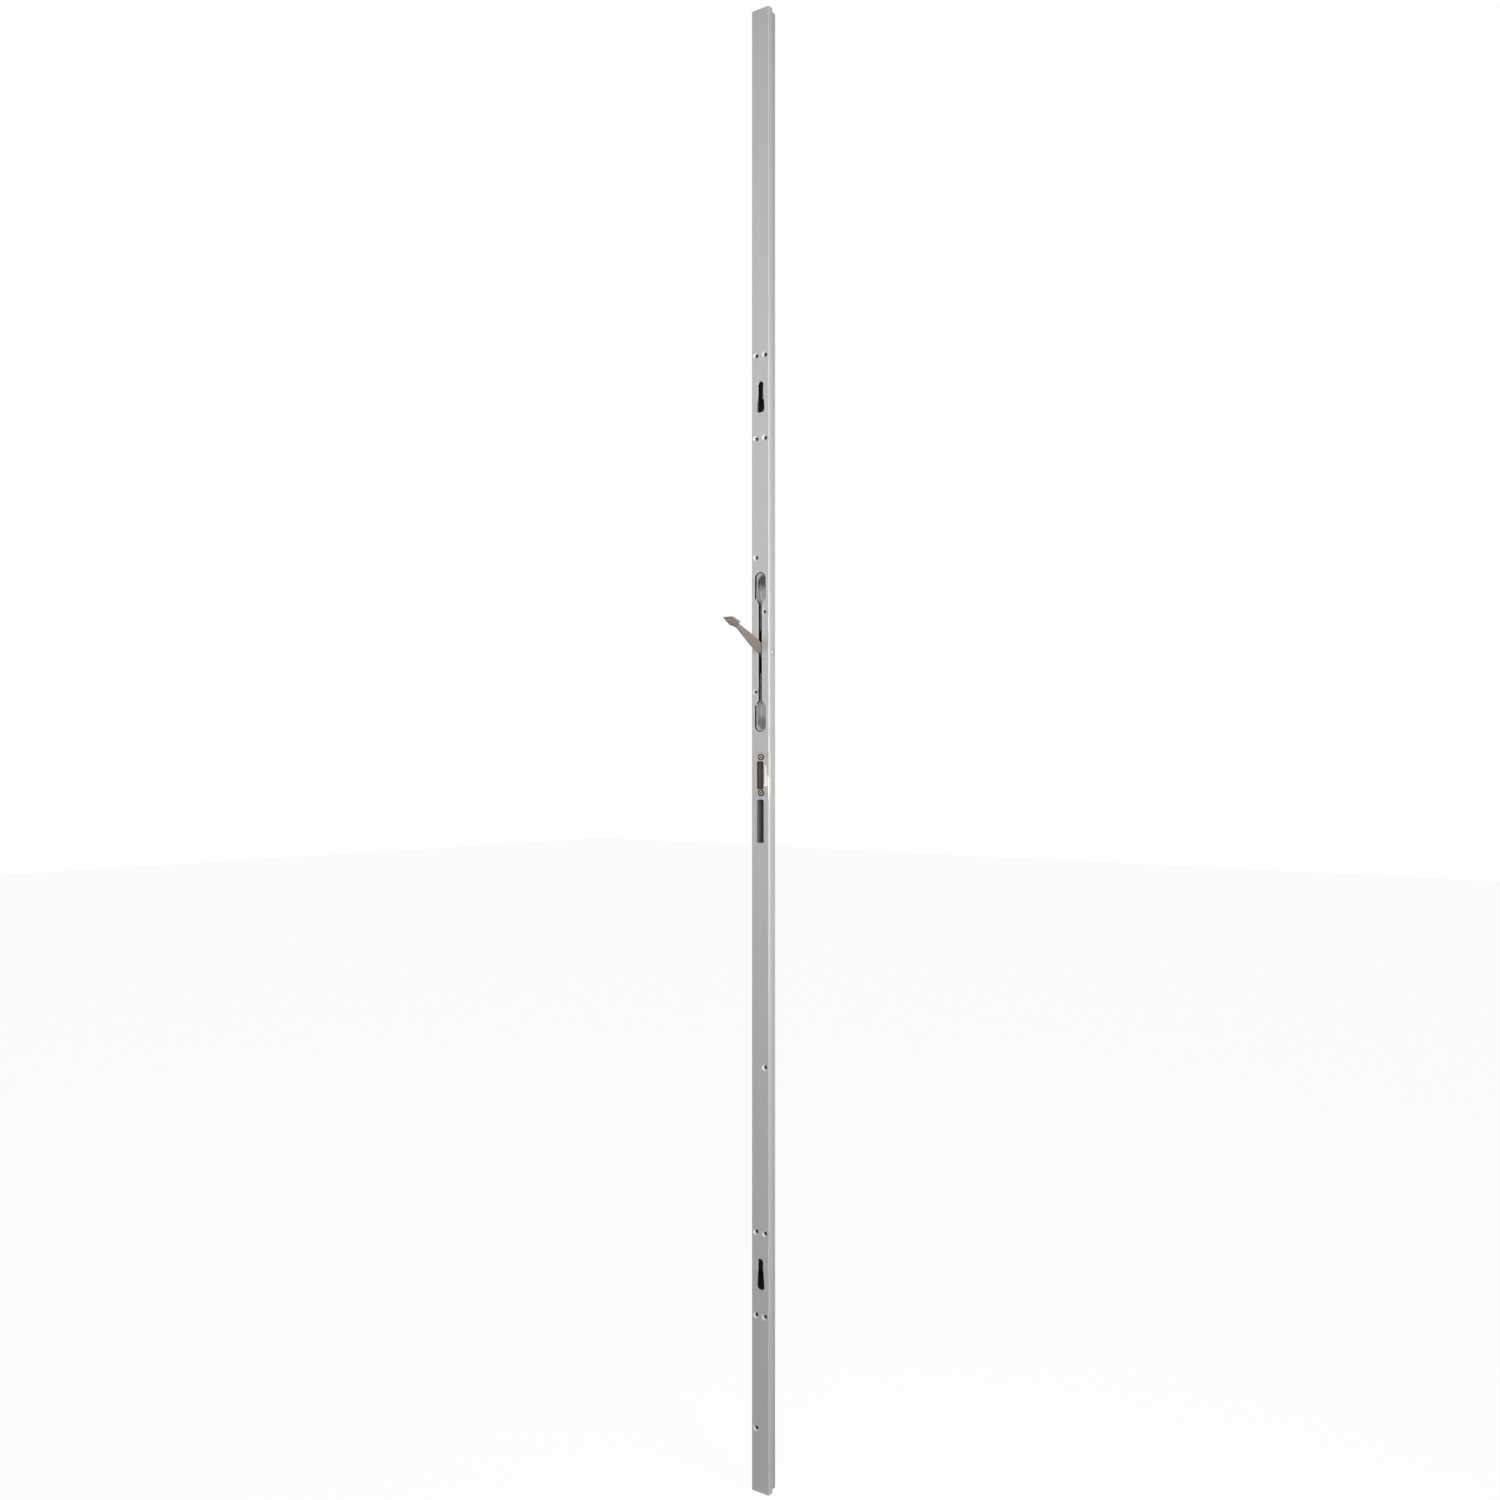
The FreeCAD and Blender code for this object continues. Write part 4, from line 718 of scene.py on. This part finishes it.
print("node trees:", [group.name for group in bpy.data.node_groups])

# %% [markdown]
# ## Faceplate
# The plate is one folded section from end to end, so it starts as a ring of points at two heights.
# The punch takes out all the countersunk holes. The openings follow: two hook slots, the spade
# shaped finger recesses with the lever slot between them, the bolt slot and the gap for the strike.

# %% Sections and outlines
def folded_section(half, wall, side_wall, depth, outer, inner, steps=8):
    # the U of the plate as (x, depth) points, once round
    right = half - side_wall - inner
    return ([(half, depth)] + arc(half - outer, outer, outer, 0, -90, steps)
            + arc(outer - half, outer, outer, -90, -180, steps)
            + [(-half, depth), (side_wall - half, depth)]
            + arc(-right, wall + inner, inner, 180, 270, 4) + arc(right, wall + inner, inner, -90, 0, 4)
            + [(half - side_wall, depth)])


def along(section, low, high, name):
    return solid([[at(x, depth, height) for x, depth in section] for height in (low, high)], name)


def hook_outline(centre, margin=0.0):
    # narrow round-headed slot that widens in a long sweep to a broader foot
    top, foot = centre + 16.95 + margin, centre - 16.95 - margin
    narrow, wide, corner = 4.35 + margin, 5.65 + margin, 4.0
    shoulder = [(narrow + (wide - narrow) * eased(step / 8), centre + 6.05 - 18.0 * step / 8)
                for step in range(1, 9)]
    right = shoulder + arc(wide - corner, foot + corner, corner, 0, -90, 8)
    mirrored = [(-x, height) for x, height in reversed(right)]
    return arc(0, top - narrow, narrow, 180, 0, 24) + right + mirrored


def recess_side(side, half, end, neck, steps=10):
    # from the neck out to the round end and back, for the recess above (1) or below (-1) the pivot
    flank = [(neck + (half - neck) * eased(step / steps),
              RECESS_NECK + (RECESS_SHOULDER - RECESS_NECK) * step / steps) for step in range(steps + 1)]
    cap = arc(0, end - half, half, 0, 180, 28)
    path = flank + cap + [(-x, reach) for x, reach in reversed(flank)]
    return [(side * x, PIVOT_HEIGHT + side * reach) for x, reach in path]


lever_opening = recess_side(1, RECESS_HALF, RECESS_END, SLOT_HALF) + recess_side(-1, RECESS_HALF, RECESS_END,
                                                                               SLOT_HALF)
print("outline points:", len(lever_opening), len(hook_outline(0)))

# %% [markdown]
# The side walls also get the two holes for the lever's axle, a little wider than the axle, and the
# four corners of the plate are nipped off.

# %% Build the faceplate
section = folded_section(PLATE_HALF, PLATE_WALL, 2.0, FLANGE_DEPTH, 1.5, 0.4)
blank = along(section, -PLATE_LENGTH / 2, PLATE_LENGTH / 2, "faceplate_blank")
hole_places = [(side * SCREW_OFFSET, centre + end * HOOK_SCREW_SPAN / 2)
               for centre in HOOK_HEIGHTS for side in (-1, 1) for end in (-1, 1)]
hole_places += list(SINGLE_HOLES) + list(CASE_SCREWS)
sink_profile = [(SINK_RADIUS + 1.0, -1.0), (HOLE_RADIUS, SINK_RADIUS - HOLE_RADIUS),
                (HOLE_RADIUS, PLATE_WALL + 1.0)]
sink = stand(turned(sink_profile, 0, 0, 48, "sink"), "sink")
sink.data.transform(Matrix.Translation(-at(0, 0, 0)))
hole_points = stand(points_mesh(hole_places, "hole_points"), "hole_points")
plate = punch.run(blank, "plate_punched", Places=hole_points, Cutter=sink, Finish=plate_steel)
for helper in (sink, hole_points):
    bpy.data.objects.remove(helper)

through = PLATE_WALL + 1.0
openings = [prism(hook_outline(centre), -1, through) for centre in HOOK_HEIGHTS]
openings.append(prism(lever_opening, -1, through))
openings.append(prism(rounded(BOLT_HALF, BOLT_FOOT, BOLT_TOP, 2.0), -1, through))
openings.append(prism(rounded(PLATE_HALF + 1, STRIKE_FOOT, STRIKE_TOP, 0.01, 1), -1, STRIKE_DEPTH))
axle_hole = arc(PIVOT_HEIGHT, PIVOT_DEPTH, AXLE_HOLE, 0, 352.5, 47)
openings.append(solid([[at(x, depth, height) for height, depth in axle_hole] for x in (-13, 13)],
                      "axle_hole"))
for side in (-1, 1):
    for end in (-1, 1):
        x, height = side * PLATE_HALF, end * PLATE_LENGTH / 2
        corner = [(x - side * PLATE_CORNER, height + end), (x + side, height + end),
                  (x + side, height - end * PLATE_CORNER), (x, height - end * PLATE_CORNER),
                  (x - side * PLATE_CORNER, height)]
        openings.append(prism(corner, -1, FLANGE_DEPTH + 1))
plate = combined(plate, openings, "faceplate_cut")
piece(softened(plate, 0.14, "faceplate_folded"), "faceplate_folded", plate_steel, "housing",
      ["faceplate"])

# %% [markdown]
# ## Finger cups
# Behind each recess sits a cast cup. Its hollow is a run of outlines that shrink with depth: the
# sides stay steep, to leave room for the lever's head, and the far end sweeps up in a long scoop
# for the fingertip.

# %% Build the finger cups
CUP_HOLLOW = [(-0.05, 0.0, 2.5), (0.0, 0.35, 3.1), (0.08, 1.3, 4.2), (0.16, 2.8, 5.4), (0.25, 4.9, 6.7),
              (0.30, 7.3, 7.9), (0.35, 9.4, 8.8), (0.5, 11.2, 9.5), (1.2, 12.6, 9.9), (3.0, 13.6, 10.1)]


def finger_cup(side, name):
    rings = []
    for inset, end_inset, depth in reversed(CUP_HOLLOW):
        outline = recess_side(side, RECESS_HALF - inset, RECESS_END - end_inset, SLOT_HALF - 0.5 * inset)
        rings.append([at(x, depth, height) for x, height in outline])
    for depth in (PLATE_WALL, CASE_FLOOR):
        outline = recess_side(side, RECESS_HALF + CUP_WALL, RECESS_END + CUP_WALL, SLOT_HALF + CUP_WALL)
        rings.append([at(x, depth, height) for x, height in outline])
    shell = solid(rings, name)
    # the arm lies in a groove that leads in from the slot
    low, high = sorted(PIVOT_HEIGHT + side * reach for reach in (RECESS_NECK - 2.0, RECESS_SHOULDER + 1.0))
    way_in = prism(rounded(SLOT_HALF, low, high, 0.2, 2), 1.5, 9.7)
    return softened(combined(shell, [way_in], name), 0.12, name)


for side, name, material in zip((1, -1), ("finger_cup_upper", "finger_cup_lower"), cup_castings):
    piece(finger_cup(side, name + "_cast"), name + "_cast", material, "housing", [name])

# %% [markdown]
# ## Lever
# The arm is leaf-shaped: broad near its root and narrow at the head, with chamfers on all four long
# edges. The head is a wedge that thins out to its tip. The toothed hub has true involute flanks. The
# lever is drawn straight out and then turned up to the angle that it rests at.

# %% Build the lever
MODULE, HUB_TEETH = 0.8, 14
PITCH_RADIUS = MODULE * HUB_TEETH / 2
ROOT_RADIUS, TIP_RADIUS = PITCH_RADIUS - MODULE, PITCH_RADIUS + 0.8 * MODULE
PRESSURE = math.radians(30.0)
BASE_RADIUS = PITCH_RADIUS * math.cos(PRESSURE)
LEVER_HALF, LEVER_LENGTH = 1.75, 70.3
HEAD_WAIST, HEAD_START, HEAD_HALF, HEAD_CORNER = 52.6, 57.6, 6.5, 1.2
HEAD_TOP, HEAD_UNDER = (2.9, -0.7), (-2.5, -1.4)
ARM_BOSS, ARM_SWELL, ARM_TIP = 4.7, 1.0, 2.1
BOSS_RADIUS, BOSS_HALF, BORE_RADIUS = 3.9, 4.05, 2.73


def lever_at(x, reach, rise):
    depth = PIVOT_DEPTH - reach * math.cos(LEVER_REST) + rise * math.sin(LEVER_REST)
    return at(x, depth, PIVOT_HEIGHT + reach * math.sin(LEVER_REST) + rise * math.cos(LEVER_REST))


def arm_rise(reach):
    # half the arm's height at a distance from the pivot
    root = ARM_BOSS + ARM_SWELL * eased((reach - 3.0) / 7.0)
    return root + (ARM_TIP - root) * eased((reach - 18.0) / 43.0)


def arm_ring(reach):
    rise, edge = arm_rise(reach), 0.75
    half = LEVER_HALF
    right = [(half - edge, -rise), (half, edge - rise), (half, rise - edge), (half - edge, rise)]
    left = [(-x, height) for x, height in reversed(right)]
    return [lever_at(x, reach, height) for x, height in right + left]


def tooth(number):
    # half angles of the tooth follow the involute of the base circle
    middle = math.pi + number * 2 * math.pi / HUB_TEETH
    flank = []
    for step in range(7):
        radius = BASE_RADIUS + (TIP_RADIUS - BASE_RADIUS) * step / 6
        lean = math.acos(min(1.0, BASE_RADIUS / radius))
        half = (math.pi / (2 * HUB_TEETH) - 0.009 + math.tan(PRESSURE) - PRESSURE
                - (math.tan(lean) - lean))
        flank.append((radius, half))
    flank.insert(0, (ROOT_RADIUS - 0.5, flank[0][1]))
    path = [(radius, -half) for radius, half in flank] + [(radius, half) for radius, half in reversed(flank)]
    return solid([[lever_at(x, radius * math.cos(middle + half), radius * math.sin(middle + half))
                   for radius, half in path] for x in (-LEVER_HALF, LEVER_HALF)], "tooth")


def wheel(radius, half, steps=64):
    turns = [2 * math.pi * step / steps for step in range(steps)]
    return solid([[lever_at(x, radius * math.cos(turn), radius * math.sin(turn)) for turn in turns]
                  for x in (-half, half)], "wheel")


head_right = ([(LEVER_HALF, HEAD_WAIST - 0.2)]
              + [(LEVER_HALF + (HEAD_HALF - LEVER_HALF) * eased(step / 8),
                  HEAD_WAIST + (HEAD_START - HEAD_WAIST) * step / 8) for step in range(1, 9)]
              + arc(HEAD_HALF - HEAD_CORNER, LEVER_LENGTH - HEAD_CORNER, HEAD_CORNER, 0, 90, 6))
head_outline = head_right + [(-x, reach) for x, reach in reversed(head_right)]


def head_rise(reach, ends):
    # the head's upper or lower surface: straight from its waist to the thin tip
    return ends[0] + (ends[1] - ends[0]) * (reach - HEAD_WAIST) / (LEVER_LENGTH - HEAD_WAIST)


head = solid([[lever_at(x, reach, head_rise(reach, ends)) for x, reach in head_outline]
              for ends in (HEAD_UNDER, HEAD_TOP)], "lever_head")
arm = solid([arm_ring(reach) for reach in [0.0] + [2.0 * step for step in range(2, 28)] + [55.0]], "arm")
blocks = [arm, head, wheel(ROOT_RADIUS, LEVER_HALF), wheel(BOSS_RADIUS, BOSS_HALF)]
blocks += [tooth(number) for number in range(-4, 5)]
lever = combined(joined(blocks, "lever_blocks"), [wheel(BORE_RADIUS, 9.0)], "lever_cut")
piece(softened(lever, 0.28, "lever_arm", 3), "lever_arm", lever_casting, "lever", ["lever"])

# %% [markdown]
# ## Latch strike
# The strike is a bright insert with the plate's own section, a rounded opening, and a scooped run-in
# that guides the other leaf's latch. The scoop is cut by a block whose bottom surface is a grid of
# depths: it deepens towards the opening and rises smoothly at both ends. The strike can be set
# sideways, so its countersinks are oblong and leave a gap to the right of each screw; countersinks
# and gaps are painted dark as shade.

# %% Build the strike
SCOOP_EDGE, SCOOP_SWING, SCOOP_HALF = 10.3, 2.2, 13.5


def scoop_depth(x, height):
    # the ramp's outer edge swings out to the fold in its lower half
    middle = (LATCH_TOP + LATCH_FOOT) / 2
    edge = SCOOP_EDGE + SCOOP_SWING * eased((middle + 3.0 - height) / 6.0)
    across = (edge - x) / (edge - LATCH_HALF)
    floor = -0.3 + 1.5 * across + 0.3 * math.sin(math.pi * min(1.0, max(0.0, across)))
    ends = eased((SCOOP_HALF - height + middle) / 6.5) * eased((SCOOP_HALF + height - middle) / 4.5)
    return -0.4 + (floor + 0.4) * ends


def scoop_block():
    columns, rows = 18, 44
    low, high = LATCH_FOOT + 2.2, LATCH_TOP - 2.2
    shape = bmesh.new()
    grid = []
    for row in range(rows + 1):
        height = low + (high - low) * row / rows
        line = []
        for column in range(columns + 1):
            x = LATCH_HALF - 1.0 + (PLATE_HALF + 2.0 - LATCH_HALF) * column / columns
            line.append((shape.verts.new(at(x, max(-1.5, scoop_depth(x, height)), height)),
                         shape.verts.new(at(x, -2.0, height))))
        grid.append(line)
    for layer in (0, 1):
        for row in range(rows):
            for column in range(columns):
                shape.faces.new([grid[r][c][layer] for r, c in ((row, column), (row, column + 1),
                                                                (row + 1, column + 1), (row + 1, column))])
    for row in range(rows):
        for column in (0, columns):
            near, far = grid[row][column], grid[row + 1][column]
            shape.faces.new((near[0], far[0], far[1], near[1]))
    for column in range(columns):
        for row in (0, rows):
            near, far = grid[row][column], grid[row][column + 1]
            shape.faces.new((near[0], far[0], far[1], near[1]))
    bmesh.ops.recalc_face_normals(shape, faces=shape.faces[:])
    mesh = bpy.data.meshes.new("scoop")
    shape.to_mesh(mesh)
    shape.free()
    return mesh


strike_section = ([(PLATE_HALF, STRIKE_DEPTH)] + arc(PLATE_HALF - 1.5, 1.5, 1.5, 0, -90, 8)
                  + arc(1.5 - PLATE_HALF, 1.5, 1.5, -90, -180, 8)
                  + [(-PLATE_HALF, STRIKE_DEPTH), (-10.0, STRIKE_DEPTH), (-10.0, PLATE_WALL),
                     (-3.6, PLATE_WALL), (-3.6, STRIKE_DEPTH)])
strike = along(strike_section, STRIKE_FOOT + 0.12, STRIKE_TOP - 0.12, "strike_blank")
cuts = [prism(rounded(LATCH_HALF, LATCH_FOOT, LATCH_TOP, 1.5), -1, STRIKE_DEPTH + 1), scoop_block()]
for height in STRIKE_SCREWS:
    cuts.append(turned([(4.4, -1.0), (1.75, 1.65), (1.75, STRIKE_DEPTH + 1)], 0, height, 48))
    cuts.append(turned([(3.3, -1.0), (3.3, 2.0), (2.6, 2.6)], STRIKE_SLOT, height, 48))
strike = combined(strike, cuts, "strike_cut")
piece(softened(strike, 0.12, "latch_strike_cast"), "latch_strike_cast", strike_metal, "housing",
      ["latch_strike"])

# %% [markdown]
# ## Screws
# Each screw is turned: a flat countersunk head a little below the face, a hexagon socket and a
# shank. The stamp tree puts one on every place, each with its own spin.

# %% Build the screws
def screw_blank(head_radius, face, socket_radius, name):
    throat = face + head_radius - 1.65
    profile = [(head_radius - 0.35, face), (head_radius - 0.1, face + 0.05), (head_radius, face + 0.2),
               (1.65, throat + 0.15), (1.65, 8.6)]
    blank = turned(profile, 0, 0, 48, name)
    blank.transform(Matrix.Translation(-at(0, 0, 0)))
    socket = turned([(socket_radius, -1.0), (socket_radius, face + 1.2), (0.3, face + 1.5)], 0, 0, 6,
                    "socket")
    socket.transform(Matrix.Translation(-at(0, 0, 0)))
    return softened(combined(blank, [socket], name), 0.07, name)


strike_places = [(0.0, height) for height in STRIKE_SCREWS]
for node, places, head_radius, sunk, socket_radius, material in (
        ("case_screws", CASE_SCREWS, 3.2, 0.4, 1.7, screw_steel),
        ("strike_screws", strike_places, 2.4, 0.9, 1.1, strike_screw_steel)):
    model = stand(screw_blank(head_radius, sunk, socket_radius, node + "_model"), node + "_model")
    mesh = stamp.run(points_mesh(places, node + "_points"), node + "_turned", Piece=model,
                     Spin=2 * math.pi, Seed=7, Finish=material)
    bpy.data.objects.remove(model)
    piece(mesh, node + "_turned", material, "housing", [node])

# %% [markdown]
# ## The other CAD pieces
# Channels, case, keepers and plugs have the right shape already, but their edges are razor sharp. A
# merged copy of each gets small rounds and stands for the CAD node. Pieces that are hidden inside
# keep their CAD mesh and only get a finish.

# %% Round the edges of the outer CAD pieces
SOFT_COPIES = {
    "channel_upper": (housing_steel, 0.20, "housing_steel"),
    "channel_lower": (housing_steel, 0.20, "housing_steel"),
    "gear_case": (case_finish, 0.12, "cast_zinc"),
    "gear_case_cover": (housing_steel, 0.15, "housing_steel"),
    "lever_axle": (axle_steel, 0.40, "drive_steel"),
    "hook_keeper_upper": (keeper_castings[0], 0.20, "cast_zinc"),
    "hook_keeper_lower": (keeper_castings[1], 0.20, "cast_zinc"),
    "strike_carrier": (pocket_casting, 0.20, "cast_zinc"),
    "deadbolt_pocket": (pocket_casting, 0.15, "cast_zinc"),
    "end_plug_top": (black_plastic, 0.30, "black_plastic"),
    "end_plug_bottom": (black_plastic, 0.30, "black_plastic"),
}
for name, (material, width, slot) in SOFT_COPIES.items():
    copy = softened(NODES[name].data.copy(), width, name + "_soft", 2, False)
    piece(copy, name + "_soft", material, "housing", [name])

# %% [markdown]
# The drive inside, the guides and the bush keep their CAD meshes. They only show in glimpses.

# %% Finish the CAD pieces that stay
CAD_FINISH = {
    "pinion_stud": screw_steel,
    "rod_guides_upper": black_plastic,
    "rod_guides_lower": black_plastic,
    "lever_bush": bronze,
    "rack_lower": drive_steel,
    "link_lower": drive_steel,
    "rod_lower": drive_steel,
    "coupler_lower": cast_zinc,
    "rack_upper": drive_steel,
    "link_upper": drive_steel,
    "rod_upper": drive_steel,
    "coupler_upper": cast_zinc,
    "reversing_pinion": drive_steel,
}
for name, material in CAD_FINISH.items():
    mesh = NODES[name].data
    mesh.materials.clear()
    mesh.materials.append(material)
print("finished", len(CAD_FINISH), "CAD pieces that stay")

# %% Update the scene
bpy.context.view_layer.update()
